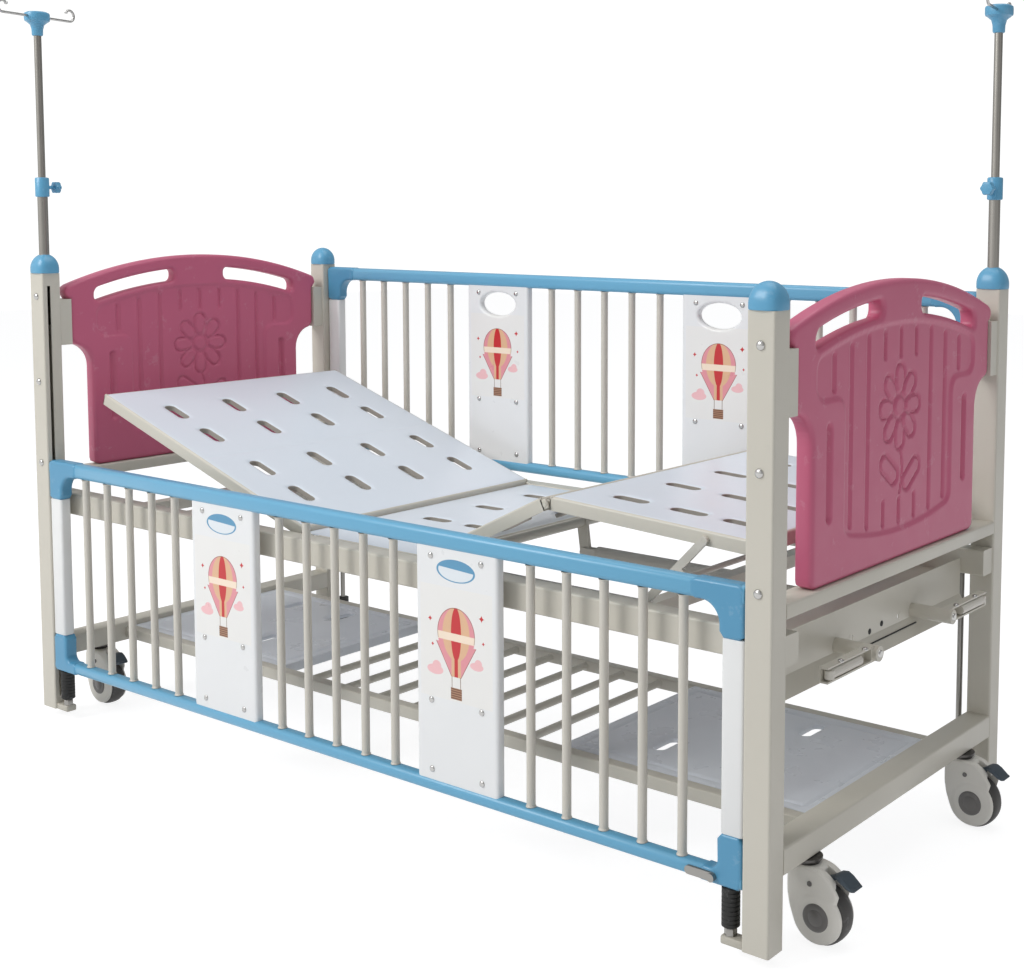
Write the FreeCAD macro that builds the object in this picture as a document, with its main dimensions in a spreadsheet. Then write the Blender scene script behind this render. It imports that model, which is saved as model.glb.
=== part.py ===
"""Pediatric hospital cot on casters: end frames, two sliding side rails, a
cranked three-part lying surface, a lower shelf and two telescopic IV poles.

Frame: +Z up, the floor at Z = 0, +X towards the foot end (the cranks), -Y the
front side.  Millimetres.  The origin is on the floor at the centre of the
overall bounding box.
"""
import FreeCAD
import Part
import math
import os

V = FreeCAD.Vector
doc = FreeCAD.newDocument("cot")
sheet = doc.addObject("Spreadsheet::Sheet", "sizes")
rows = []
nodes = []


class Size:
    """A length that knows both its expression and its present value."""

    def __init__(self, text, value):
        self.text = text
        self.value = float(value)

    def __float__(self):
        return self.value

    def __add__(self, other):
        other = as_size(other)
        return Size("(%s + %s)" % (self.text, other.text), self.value + other.value)

    def __sub__(self, other):
        other = as_size(other)
        return Size("(%s - %s)" % (self.text, other.text), self.value - other.value)

    def __mul__(self, other):
        other = as_size(other)
        return Size("(%s * %s)" % (self.text, other.text), self.value * other.value)

    def __truediv__(self, other):
        other = as_size(other)
        return Size("(%s / %s)" % (self.text, other.text), self.value / other.value)

    def __radd__(self, other):
        return as_size(other) + self

    def __rsub__(self, other):
        return as_size(other) - self

    def __rmul__(self, other):
        return as_size(other) * self

    def __neg__(self):
        return as_size(0) - self


def as_size(value):
    if isinstance(value, Size):
        return value
    return Size("(%s)" % format(float(value), ".9g"), float(value))


def size(alias, value):
    """Write one named size into the sheet and return it."""
    rows.append(alias)
    sheet.set("A%d" % len(rows), alias)
    sheet.set("B%d" % len(rows), str(value))
    sheet.setAlias("B%d" % len(rows), alias)
    return Size("sizes." + alias, value)


def bigger(one, two):
    one = as_size(one)
    two = as_size(two)
    return Size("max(%s; %s)" % (one.text, two.text), max(one.value, two.value))


def cosine(angle):
    return Size("cos(%s)" % angle.text, math.cos(math.radians(angle.value)))


def sine(angle):
    return Size("sin(%s)" % angle.text, math.sin(math.radians(angle.value)))


def root(value):
    return Size("sqrt(%s)" % value.text, math.sqrt(value.value))


# ---------------------------------------------------------------- sizes
# end frames
frame_length = size("frame_length", 1982)
frame_width = size("frame_width", 854)
post_deep = size("post_deep", 50)
post_wide = size("post_wide", 44)
post_high = size("post_high", 1000)
post_lift = size("post_lift", 22)
tube_wall = size("tube_wall", 2.5)
tube_round = size("tube_round", 4)
cap_high = size("cap_high", 44)
cap_over = size("cap_over", 5)
slot_wide = size("slot_wide", 8)
slot_margin = size("slot_margin", 28)
low_bar_z = size("low_bar_z", 140)
low_bar_high = size("low_bar_high", 44)
top_bar_z = size("top_bar_z", 546)
top_bar_high = size("top_bar_high", 25)
seat_gap = size("seat_gap", 0.3)
run_gap = size("run_gap", 0.08)
# deck frame
beam_z = size("beam_z", 470)
beam_high = size("beam_high", 50)
beam_wide = size("beam_wide", 40)
beam_short = size("beam_short", 3)
cross_high = size("cross_high", 25)
cross_deep = size("cross_deep", 30)
cross_end = size("cross_end", 188)
cross_inset = size("cross_inset", 348)
cross_middle = size("cross_middle", 20)
deck_top = size("deck_top", 520)
sheet_thick = size("sheet_thick", 2)
flange_high = size("flange_high", 25)
flange_room = size("flange_room", 1)
deck_side_gap = size("deck_side_gap", 3)
pivot_drop = size("pivot_drop", 15)
pin_radius = size("pin_radius", 6)
# lying surface
back_pivot = size("back_pivot", -143)
back_offset = size("back_offset", 38)
back_room = size("back_room", 62)
back_tilt = size("back_tilt", 18)
seat_gap_x = size("seat_gap_x", 10)
ear_thick = size("ear_thick", 6)
thigh_pivot = size("thigh_pivot", 158)
thigh_length = size("thigh_length", 337)
thigh_tilt = size("thigh_tilt", 26)
knee_gap = size("knee_gap", 8)
leg_room = size("leg_room", 17)
leg_drop = size("leg_drop", 3)
slot_long = size("slot_long", 70)
slot_broad = size("slot_broad", 21)
row_start = size("row_start", 132)
row_step = size("row_step", 132)
row_end = size("row_end", 130)
leg_row_start = size("leg_row_start", 110)
leg_row_step = size("leg_row_step", 110)
leg_row_end = size("leg_row_end", 85)
prop_set = size("prop_set", 90)
prop_long = size("prop_long", 185)
prop_tilt = size("prop_tilt", 45.4)
prop_wide = size("prop_wide", 24)
prop_tie = size("prop_tie", 75)
prop_drop = size("prop_drop", 20)
# crank drives
screw_z = size("screw_z", 441)
screw_y = size("screw_y", 140)
screw_radius = size("screw_radius", 6)
screw_long = size("screw_long", 500)
torque_radius = size("torque_radius", 10)
lever_long = size("lever_long", 70)
thigh_lever = size("thigh_lever", 65)
lever_thick = size("lever_thick", 8)
lever_wide = size("lever_wide", 26)
back_lever_lean = size("back_lever_lean", 34)
thigh_lever_lean = size("thigh_lever_lean", 18)
push_radius = size("push_radius", 16)
push_wall = size("push_wall", 2)
back_push_long = size("back_push_long", 690)
thigh_push_long = size("thigh_push_long", 400)
fork_thick = size("fork_thick", 5)
fork_long = size("fork_long", 34)
hub_radius = size("hub_radius", 13)
hub_reach = size("hub_reach", 24)
arm_long = size("arm_long", 158)
arm_high = size("arm_high", 26)
arm_deep = size("arm_deep", 16)
arm_wall = size("arm_wall", 3)
grip_radius = size("grip_radius", 8.5)
grip_long = size("grip_long", 96)
# fascia
fascia_top = size("fascia_top", 500)
fascia_fold = size("fascia_fold", 430)
fascia_low = size("fascia_low", 400)
fascia_lip = size("fascia_lip", 16)
# shelf
shelf_z = size("shelf_z", 147)
shelf_rail_y = size("shelf_rail_y", 216)
shelf_rail_wide = size("shelf_rail_wide", 25)
shelf_bar_radius = size("shelf_bar_radius", 8)
shelf_bar_pitch = size("shelf_bar_pitch", 102)
tray_start = size("tray_start", 400)
tray_skirt = size("tray_skirt", 20)
# side rails
rail_set = size("rail_set", 15)
rail_deep = size("rail_deep", 28)
rail_end_gap = size("rail_end_gap", 1)
rail_low_z = size("rail_low_z", 116)
rail_low_high = size("rail_low_high", 24)
rail_bar_high = size("rail_bar_high", 427)
rail_top_high = size("rail_top_high", 32)
rail_round = size("rail_round", 9)
rail_wall = size("rail_wall", 3)
rail_travel = size("rail_travel", 415)
bar_radius = size("bar_radius", 8)
bar_wall = size("bar_wall", 1.5)
panel_gap = size("panel_gap", 59.45)
bar_end_gap = size("bar_end_gap", 72.7)
panel_wide = size("panel_wide", 200)
panel_thick = size("panel_thick", 20)
hole_long = size("hole_long", 111)
hole_high = size("hole_high", 54)
hole_drop = size("hole_drop", 42)
upright_wide = size("upright_wide", 42)
upright_wall = size("upright_wall", 2)
corner_wide = size("corner_wide", 47)
corner_leg = size("corner_leg", 54)
corner_round = size("corner_round", 35)
foot_leg = size("foot_leg", 60)
foot_round = size("foot_round", 15)
rod_inset = size("rod_inset", 29)
rod_radius = size("rod_radius", 6)
rod_gap = size("rod_gap", 0.3)
rod_top = size("rod_top", 582)
rod_foot_z = size("rod_foot_z", 21)
rod_foot_high = size("rod_foot_high", 14)
buffer_radius = size("buffer_radius", 15)
buffer_z = size("buffer_z", 50)
latch_inset = size("latch_inset", 98)
latch_long = size("latch_long", 45)
latch_high = size("latch_high", 14)
latch_thick = size("latch_thick", 5)
# end boards
board_thick = size("board_thick", 34)
board_set = size("board_set", 7)
board_hold_gap = size("board_hold_gap", 29)
board_bend = size("board_bend", 54)
board_over = size("board_over", 12)
board_step_z = size("board_step_z", 815)
board_hold_z = size("board_hold_z", 858)
board_hold_high = size("board_hold_high", 104)
board_shoulder_high = size("board_shoulder_high", 28)
board_crown = size("board_crown", 66)
hand_inner = size("hand_inner", 72)
hand_margin = size("hand_margin", 64)
hand_edge = size("hand_edge", 30)
hand_high = size("hand_high", 30)
recess_deep = size("recess_deep", 3)
recess_margin = size("recess_margin", 64)
recess_side = size("recess_side", 102)
recess_step_z = size("recess_step_z", 865)
recess_low_z = size("recess_low_z", 643)
recess_drop = size("recess_drop", 72)
recess_crown = size("recess_crown", 23)
rib_edge = size("rib_edge", 60.8)
rib_wide = size("rib_wide", 8)
rib_deep = size("rib_deep", 3)
# casters
wheel_radius = size("wheel_radius", 50)
wheel_wide = size("wheel_wide", 34)
tread_side = size("tread_side", 6)
tread_drop = size("tread_drop", 4)
wheel_room = size("wheel_room", 3.5)
caster_inset = size("caster_inset", 14)
caster_set = size("caster_set", 139)
trail = size("trail", 30)
cheek_radius = size("cheek_radius", 45)
cheek_thick = size("cheek_thick", 6)
cheek_gap = size("cheek_gap", 1.5)
axle_radius = size("axle_radius", 5)
bearing_radius = size("bearing_radius", 25)
bearing_high = size("bearing_high", 10)
pedal_wide = size("pedal_wide", 34)
pedal_start = size("pedal_start", 22)
pedal_long = size("pedal_long", 34)
pedal_thick = size("pedal_thick", 9)
pedal_tilt = size("pedal_tilt", 30)
pedal_pivot_x = size("pedal_pivot_x", 14)
pedal_pivot_z = size("pedal_pivot_z", 60)
pedal_arm = size("pedal_arm", 14)
pedal_pin = size("pedal_pin", 3)
# IV poles
iv_radius = size("iv_radius", 11)
iv_down = size("iv_down", 120)
collar_z = size("collar_z", 1215)
collar_radius = size("collar_radius", 15)
collar_high = size("collar_high", 44)
pole_radius = size("pole_radius", 8)
pole_gap = size("pole_gap", 0.3)
pole_down = size("pole_down", 300)
head_hub_z = size("head_hub_z", 1605)
foot_hub_z = size("foot_hub_z", 1565)
crown_radius = size("crown_radius", 27)
crown_high = size("crown_high", 24)
neck_radius = size("neck_radius", 11.5)
neck_high = size("neck_high", 30)
hook_reach = size("hook_reach", 108)
hook_wire = size("hook_wire", 3)
hook_round = size("hook_round", 14)
hook_turn = size("hook_turn", 12)
knob_radius = size("knob_radius", 14)
knob_long = size("knob_long", 14)
knob_reach = size("knob_reach", 34)
knob_stem = size("knob_stem", 4)
clamp_gap = size("clamp_gap", 3)
doc.recompute()

# ---------------------------------------------------------------- derived
half_length = frame_length / 2
half_width = frame_width / 2
inner_x = half_length - post_deep
inner_y = half_width - post_wide
post_x = half_length - post_deep / 2
post_y = half_width - post_wide / 2
post_top = post_lift + post_high
caster_x = half_length - caster_inset
pedal_tip = (pedal_start + pedal_long) * cosine(pedal_tilt) + pedal_thick / 2 * sine(pedal_tilt)
reach_plus = caster_x + trail + bigger(wheel_radius, pedal_pivot_x + pedal_tip)
reach_minus = bigger(caster_x - trail + wheel_radius, half_length + cap_over)
shift = (reach_minus - reach_plus) / 2
beam_y = inner_y - beam_wide
deck_half = beam_y - deck_side_gap
pivot_z = deck_top - pivot_drop
rail_end = inner_x - rail_end_gap
rod_x = inner_x - rod_inset
board_x = half_length - board_set - board_thick
board_wide = inner_y - board_hold_gap
board_narrow = board_wide - board_bend
board_shoulder = board_wide + board_over
hand_outer = board_wide - hand_margin
recess_wide = board_wide - recess_margin
recess_narrow = board_narrow - recess_side
rib_pitch = (recess_wide - rib_edge) / 4
back_length = board_x + back_pivot - back_offset - back_room
leg_length = board_x - leg_room - thigh_pivot - thigh_length - knee_gap
prop_along = leg_length - prop_set
rail_y = half_width - rail_set
bar_room = rail_end - upright_wide - bar_end_gap - panel_gap * 2 - panel_wide
bar_pitch = (bar_room - bar_radius * 3) / 6
panel_centre = bar_pitch * 2 + bar_radius + panel_gap + panel_wide / 2
group_pitch = panel_centre * 2
caster_y = half_width - caster_set


# ---------------------------------------------------------------- helpers
def bind(obj, prop, value):
    """Bind a property to an expression made of the named sizes."""
    value = as_size(value)
    obj.setExpression(prop, value.text)


def locate(obj, x, y, z, axis=None, angle=0):
    """Place an object; the angle about the axis may be a named size."""
    if axis is not None:
        turn = FreeCAD.Rotation(V(*axis), 1.0)
        obj.Placement = FreeCAD.Placement(V(0, 0, 0), turn)
        bind(obj, "Placement.Rotation.Angle", angle)
    bind(obj, "Placement.Base.x", x)
    bind(obj, "Placement.Base.y", y)
    bind(obj, "Placement.Base.z", z)
    return obj


def box(label, lx, ly, lz, x, y, z):
    """A block whose lowest corner is at x, y, z."""
    obj = doc.addObject("Part::Box", label)
    bind(obj, "Length", lx)
    bind(obj, "Width", ly)
    bind(obj, "Height", lz)
    return locate(obj, x, y, z)


def mid_box(label, lx, ly, lz, x, y, z):
    """A block centred in X and Y, with its underside at z."""
    return box(label, lx, ly, lz, x - as_size(lx) / 2, y - as_size(ly) / 2, z)


AXES = {
    "z": None,
    "x": ((0, 1, 0), 90),
    "-x": ((0, 1, 0), -90),
    "y": ((1, 0, 0), -90),
    "-y": ((1, 0, 0), 90),
}


def rod(label, radius, length, x, y, z, way="z"):
    """A round bar that starts at x, y, z and runs along one axis."""
    obj = doc.addObject("Part::Cylinder", label)
    bind(obj, "Radius", radius)
    bind(obj, "Height", length)
    if AXES[way] is None:
        return locate(obj, x, y, z)
    return locate(obj, x, y, z, AXES[way][0], AXES[way][1])


def stick(label, radius, length, x, y, z, way="z", sides=12):
    """A slender repeated or hidden bar, drawn with flats to keep it light."""
    obj = doc.addObject("Part::Prism", label)
    obj.Polygon = sides
    bind(obj, "Circumradius", radius)
    bind(obj, "Height", length)
    if AXES[way] is None:
        return locate(obj, x, y, z)
    return locate(obj, x, y, z, AXES[way][0], AXES[way][1])


def fuse(label, parts):
    obj = doc.addObject("Part::MultiFuse", label)
    obj.Shapes = parts
    obj.Refine = True
    return obj


def together(label, parts):
    """Several loose solids kept in one object."""
    obj = doc.addObject("Part::Compound", label)
    obj.Links = parts
    return obj


def cut(label, base, tools):
    obj = doc.addObject("Part::Cut", label)
    obj.Base = base
    if len(tools) == 1:
        obj.Tool = tools[0]
    else:
        obj.Tool = together(label + "_tools", tools)
    obj.Refine = True
    return obj


def common(label, parts):
    obj = doc.addObject("Part::MultiCommon", label)
    obj.Shapes = parts
    return obj


def obround(label, long, broad, high, x, y, z, along="x", sides=8):
    """An upright tool with round ends, centred on x, y, its foot at z."""
    long = as_size(long)
    broad = as_size(broad)
    straight = long - broad
    if along == "x":
        middle = mid_box(label + "_m", straight, broad, high, x, y, z)
        ends = [(x - straight / 2, y), (x + straight / 2, y)]
    else:
        middle = mid_box(label + "_m", broad, straight, high, x, y, z)
        ends = [(x, y - straight / 2), (x, y + straight / 2)]
    discs = []
    for i, (ex, ey) in enumerate(ends):
        disc = stick("%s_e%d" % (label, i), broad / 2 / cosine(as_size(180.0 / sides)), high,
                     ex, ey, z, "z", sides)
        disc.Placement = FreeCAD.Placement(V(0, 0, 0), FreeCAD.Rotation(V(0, 0, 1), 180.0 / sides))
        discs.append(locate(disc, ex, ey, z))
    return fuse(label, [middle] + discs)


def plane(body, role):
    for feature in body.Origin.OriginFeatures:
        if feature.Role == role:
            return feature
    raise RuntimeError("no plane " + role)


def pull(sketch, index, value):
    """Tie one constraint of a sketch to the named sizes."""
    sketch.setExpression("Constraints[%d]" % index, as_size(value).text)


def round_rect(sketch, x0, x1, y0, y1, radius):
    """A rectangle with four equal round corners, fully constrained."""
    x0, x1, y0, y1, radius = [as_size(v) for v in (x0, x1, y0, y1, radius)]
    a, b, c, d, r = [float(v) for v in (x0, x1, y0, y1, radius)]
    first = sketch.GeometryCount
    corners = [(b - r, c + r, -90), (b - r, d - r, 0), (a + r, d - r, 90), (a + r, c + r, 180)]
    sides = [((a + r, c), (b - r, c)), ((b, c + r), (b, d - r)),
             ((b - r, d), (a + r, d)), ((a, d - r), (a, c + r))]
    for side, corner in zip(sides, corners):
        start = V(side[0][0], side[0][1], 0)
        end = V(side[1][0], side[1][1], 0)
        sketch.addGeometry(Part.LineSegment(start, end), False)
        circle = Part.Circle(V(corner[0], corner[1], 0), V(0, 0, 1), r)
        begin = math.radians(corner[2])
        sketch.addGeometry(Part.ArcOfCircle(circle, begin, begin + math.pi / 2), False)
    import Sketcher
    for i in range(4):
        line = first + 2 * i
        arc = line + 1
        following = first + (2 * i + 2) % 8
        sketch.addConstraint(Sketcher.Constraint("Tangent", line, 2, arc, 1))
        sketch.addConstraint(Sketcher.Constraint("Tangent", arc, 2, following, 1))
    sketch.addConstraint(Sketcher.Constraint("Horizontal", first))
    sketch.addConstraint(Sketcher.Constraint("Horizontal", first + 4))
    sketch.addConstraint(Sketcher.Constraint("Vertical", first + 2))
    sketch.addConstraint(Sketcher.Constraint("Vertical", first + 6))
    for i in (3, 5, 7):
        sketch.addConstraint(Sketcher.Constraint("Equal", first + 1, first + i))
    pull(sketch, sketch.addConstraint(Sketcher.Constraint("Radius", first + 1, r)), radius)
    for kind, geo, value in (("DistanceX", 6, x0), ("DistanceX", 2, x1),
                             ("DistanceY", 0, y0), ("DistanceY", 4, y1)):
        made = Sketcher.Constraint(kind, -1, 1, first + geo, 1, float(value))
        pull(sketch, sketch.addConstraint(made), value)


def polygon(sketch, points):
    """A closed outline of straight lines through the given points."""
    import Sketcher
    first = sketch.GeometryCount
    count = len(points)
    spots = [V(float(p[0]), float(p[1]), 0) for p in points]
    for i in range(count):
        sketch.addGeometry(Part.LineSegment(spots[i], spots[(i + 1) % count]), False)
    for i in range(count):
        here = first + i
        after = first + (i + 1) % count
        sketch.addConstraint(Sketcher.Constraint("Coincident", here, 2, after, 1))
    for i in range(count):
        for kind, value in (("DistanceX", points[i][0]), ("DistanceY", points[i][1])):
            made = Sketcher.Constraint(kind, -1, 1, first + i, 1, float(value))
            pull(sketch, sketch.addConstraint(made), value)


def bar_body(label, wide, deep, length, radius, wall=None):
    """A bar or tube of rounded rectangular section along its own Z."""
    body = doc.addObject("PartDesign::Body", label)
    sketch = body.newObject("Sketcher::SketchObject", label + "_section")
    sketch.AttachmentSupport = [(plane(body, "XY_Plane"), "")]
    sketch.MapMode = "FlatFace"
    wide = as_size(wide)
    deep = as_size(deep)
    round_rect(sketch, -(wide / 2), wide / 2, -(deep / 2), deep / 2, radius)
    if wall is not None:
        px = wide / 2 - wall
        py = deep / 2 - wall
        polygon(sketch, [(-px, -py), (px, -py), (px, py), (-px, py)])
    pad = body.newObject("PartDesign::Pad", label + "_pad")
    pad.Profile = sketch
    bind(pad, "Length", length)
    body.Tip = pad
    return body


def box_tube(label, wide, deep, length, wall):
    """A square-cornered tube along its own Z, for hidden or short members."""
    body = doc.addObject("PartDesign::Body", label)
    sketch = body.newObject("Sketcher::SketchObject", label + "_section")
    sketch.AttachmentSupport = [(plane(body, "XY_Plane"), "")]
    sketch.MapMode = "FlatFace"
    for inset in (as_size(0), as_size(wall)):
        px = as_size(wide) / 2 - inset
        py = as_size(deep) / 2 - inset
        polygon(sketch, [(-px, -py), (px, -py), (px, py), (-px, py)])
    pad = body.newObject("PartDesign::Pad", label + "_pad")
    pad.Profile = sketch
    bind(pad, "Length", length)
    body.Tip = pad
    return body


def node(name, obj):
    """Register a finished sub-part under its own name."""
    obj.Label = name
    nodes.append((name, obj))
    return obj


SIDES = (("front", -1), ("rear", 1))
ENDS = (("head", -1), ("foot", 1))

# ---------------------------------------------------------------- posts
caps = []
for end, ex in ENDS:
    for side, sy in SIDES:
        tag = end + "_" + side
        tube = bar_body("tube_" + tag, post_deep, post_wide, post_high, tube_round, tube_wall)
        locate(tube, shift + ex * post_x, sy * post_y, post_lift)
        groove_x = inner_x if ex > 0 else -(inner_x + tube_wall * 1.5)
        groove = box("groove_" + tag, tube_wall * 1.5, slot_wide, post_high - slot_margin * 2,
                     shift + groove_x - (0.5 if ex > 0 else -0.5),
                     sy * rail_y - slot_wide / 2, post_lift + slot_margin)
        slotted = cut("slotted_" + tag, tube, [groove])
        hold_long = inner_y - board_wide
        hold_y = board_wide if sy > 0 else -inner_y
        hold = box("hold_" + tag, board_thick + 8, hold_long, board_hold_high,
                   shift + (board_x - 4 if ex > 0 else -(board_x + board_thick + 4)),
                   hold_y, board_hold_z)
        node("post_" + tag, fuse("whole_" + tag, [slotted, hold]))
        block = mid_box("cap_block_" + tag, post_deep + cap_over * 2, post_wide + cap_over * 2,
                        cap_high, shift + ex * post_x, sy * post_y, post_top)
        reach = post_deep / 2 + cap_over
        arch = (reach * reach + cap_high * cap_high) / (cap_high * 2)
        along = rod("cap_arch_x_" + tag, arch, post_deep * 2, shift + ex * post_x - post_deep,
                    sy * post_y, post_top + cap_high - arch, "x")
        across = rod("cap_arch_y_" + tag, arch, post_deep * 2, shift + ex * post_x,
                     sy * post_y - post_deep, post_top + cap_high - arch, "y")
        cap = common("cap_" + tag, [block, along, across])
        if (ex < 0) == (sy < 0):
            bore = stick("cap_bore_" + tag, iv_radius + seat_gap, cap_high + 2,
                         shift + ex * post_x, sy * post_y, post_top - 1, "z", 20)
            cap = cut("cap_open_" + tag, cap, [bore])
        caps.append(cap)
node("post_caps", together("caps", caps))

# ---------------------------------------------------------------- crossbars
for end, ex in ENDS:
    for level, base, high in (("low", low_bar_z, low_bar_high), ("top", top_bar_z, top_bar_high)):
        bar = box_tube("bar_%s_%s" % (end, level), post_deep, high, inner_y * 2, tube_wall)
        locate(bar, shift + ex * post_x, -inner_y, base + high / 2, (1, 0, 0), -90)
        node("%s_%s_crossbar" % (end, level), bar)

# ---------------------------------------------------------------- deck frame
knee_x = thigh_length + knee_gap / 2
track_long = size("track_long", 130)
track_high = size("track_high", 30)
prop_flat = thigh_pivot + knee_x + prop_along - prop_long
beam_half = half_length - beam_short
for side, sy in SIDES:
    tube = bar_body("beam_" + side, beam_high, beam_wide, beam_half * 2, tube_round, tube_wall)
    locate(tube, shift - beam_half, sy * (beam_y + beam_wide / 2), beam_z + beam_high / 2,
           (0, 1, 0), 90)
    holes = []
    start = beam_y - 1 if sy > 0 else -(beam_y + tube_wall + 1)
    for tag, where in (("back", back_pivot), ("thigh", thigh_pivot)):
        holes.append(rod("eye_%s_%s" % (side, tag), pin_radius + run_gap, tube_wall + 2,
                         shift + where, start, pivot_z, "y"))
    holes.append(box("track_" + side, track_long, tube_wall + 2, track_high,
                     shift + prop_flat - 20, start, pivot_z - track_high / 2))
    bored = cut("bored_" + side, tube, holes)
    plug = box("plug_" + side, tube_wall, beam_wide - tube_wall * 2 + 1, beam_high - tube_wall * 2 + 1,
               shift + beam_half - tube_wall, sy * (beam_y + beam_wide / 2)
               - (beam_wide - tube_wall * 2 + 1) / 2, beam_z + tube_wall - 0.5)
    node(side + "_side_beam", fuse("beam_whole_" + side, [bored, plug]))

cross_z = deck_top - flange_high - flange_room - cross_high
stays = []
for i, place_x in enumerate((cross_end - beam_half, cross_inset - beam_half, cross_middle,
                             beam_half - cross_inset)):
    tube = box_tube("stay_%d" % i, cross_deep, cross_high, beam_y * 2, tube_wall)
    locate(tube, shift + place_x, -beam_y, cross_z + cross_high / 2, (1, 0, 0), -90)
    stays.append(tube)
node("deck_cross_tubes", together("stays", stays))

# ---------------------------------------------------------------- fascia
fascia = doc.addObject("PartDesign::Body", "fascia")
outline = fascia.newObject("Sketcher::SketchObject", "fascia_section")
outline.AttachmentSupport = [(plane(fascia, "XZ_Plane"), "")]
outline.MapMode = "FlatFace"
polygon(outline, [(0, fascia_fold), (0, fascia_top), (-(sheet_thick), fascia_top),
                  (-(sheet_thick), fascia_fold - sheet_thick / 2),
                  (fascia_lip, fascia_low), (fascia_lip + sheet_thick, fascia_low)])
sheet_pad = fascia.newObject("PartDesign::Pad", "fascia_pad")
sheet_pad.Profile = outline
bind(sheet_pad, "Length", beam_y * 2)
sheet_pad.Reversed = True
fascia.Tip = sheet_pad
locate(fascia, shift + inner_x - 1, -beam_y, 0)
openings = []
for i, sy in enumerate((-1, 1)):
    openings.append(rod("hub_hole_%d" % i, hub_radius + seat_gap, 60, shift + inner_x - 20,
                        sy * screw_y, screw_z, "x"))
for i, place_y in enumerate((-0.25, 0.06, 0.25)):
    openings.append(stick("round_hole_%d" % i, 5, 40, shift + inner_x - 20,
                          beam_y * place_y, fascia_fold + 12, "x", 8))
node("crank_fascia", cut("fascia_cut", fascia, openings))


# ---------------------------------------------------------------- lying surface
def pan(tag, x0, x1, half, slots, ends=(True, True)):
    """A pressed sheet section in pivot coordinates: top face, rim and slots."""
    x0 = as_size(x0)
    x1 = as_size(x1)
    low = pivot_drop - flange_high
    shell = [box(tag + "_top", x1 - x0, half * 2, sheet_thick, x0, -half,
                 pivot_drop - sheet_thick)]
    for i, sy in enumerate((-1, 1)):
        y0 = -half if sy < 0 else half - sheet_thick
        shell.append(box("%s_side_%d" % (tag, i), x1 - x0, sheet_thick, flange_high, x0, y0, low))
    if ends[0]:
        shell.append(box(tag + "_end_0", sheet_thick, half * 2, flange_high, x0, -half, low))
    if ends[1]:
        shell.append(box(tag + "_end_1", sheet_thick, half * 2, flange_high,
                         x1 - sheet_thick, -half, low))
    whole = fuse(tag + "_shell", shell)
    tools = []
    for i, (sx, sy) in enumerate(slots):
        tools.append(obround("%s_slot_%d" % (tag, i), slot_long, slot_broad, sheet_thick + 4,
                             sx, sy, pivot_drop - sheet_thick - 2))
    return cut(tag + "_pan", whole, tools)


def pins(tag, x):
    """Hinge pins on the two side flanges, reaching into the side beams."""
    made = []
    for i, sy in enumerate((-1, 1)):
        length = deck_side_gap + tube_wall + 4 + sheet_thick
        start = deck_half - sheet_thick
        made.append(stick("%s_pin_%d" % (tag, i), pin_radius, length, x, sy * start, 0,
                        "y" if sy > 0 else "-y"))
    return made


def lever(tag, length, lean, y):
    """A lever welded to the torque tube, hanging down to the drive pin."""
    arm = box(tag + "_arm", lever_wide, lever_thick, length, -(lever_wide / 2),
              -(lever_thick / 2), -length)
    tip = stick(tag + "_tip", lever_wide / 2, lever_thick, 0, -(lever_thick / 2), -length, "y")
    eye = rod(tag + "_eye", lever_wide / 4 + run_gap, lever_thick + 2, 0,
              -(lever_thick / 2) - 1, -length, "y")
    whole = fuse(tag + "_blank", [arm, tip])
    bored = cut(tag + "_lever", whole, [eye])
    return locate(bored, 0, y, 0, (0, 1, 0), lean)


# back section: ears beyond its end carry it on the pivot
slot_rows = (row_start, row_start + row_step, back_length - row_end - row_step,
             back_length - row_end)
slot_lines = (-238, -80, 80, 238)
back_slots = []
for along in slot_rows:
    for across in slot_lines:
        back_slots.append((-(back_offset + along), across))
back_pan = pan("back", -(back_offset + back_length), -back_offset, deck_half, back_slots)
back_bits = [back_pan] + pins("back", 0)
for i, sy in enumerate((-1, 1)):
    y0 = -deck_half if sy < 0 else deck_half - ear_thick
    back_bits.append(box("back_ear_%d" % i, back_offset + 40, ear_thick, 20,
                         -(back_offset + 40), y0, -10))
    back_bits.append(stick("back_boss_%d" % i, torque_radius, ear_thick, 0, y0, 0, "y"))
back_bits.append(stick("back_torque", torque_radius, deck_half * 2 - 2, 0, -(deck_half - 1), 0, "y"))
back_bits.append(lever("back_drive", lever_long, -back_lever_lean, -screw_y))
back_whole = fuse("back_whole", back_bits)
node("back_section", locate(back_whole, shift + back_pivot, 0, pivot_z, (0, 1, 0), back_tilt))

# seat section, fixed between the beams
seat_x0 = back_pivot - back_offset + 6
seat_x1 = thigh_pivot - seat_gap_x
seat_slots = []
for across in slot_lines:
    seat_slots.append((thigh_pivot - 95, across))
    seat_slots.append((thigh_pivot - 215, across))
seat_pan = pan("seat", seat_x0, seat_x1, deck_half, seat_slots, (False, False))
notches = []
for i, sy in enumerate((-1, 1)):
    notch = ear_thick + 3
    y0 = -(deck_half + 1) if sy < 0 else deck_half - notch
    notches.append(box("seat_notch_%d" % i, back_offset - 6 + torque_radius + 6, notch + 1,
                       flange_high + 2, seat_x0 - 1, y0, pivot_drop - flange_high - 1))
seat_cut = cut("seat_cut", seat_pan, notches)
node("seat_section", locate(seat_cut, shift, 0, pivot_z))

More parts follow.
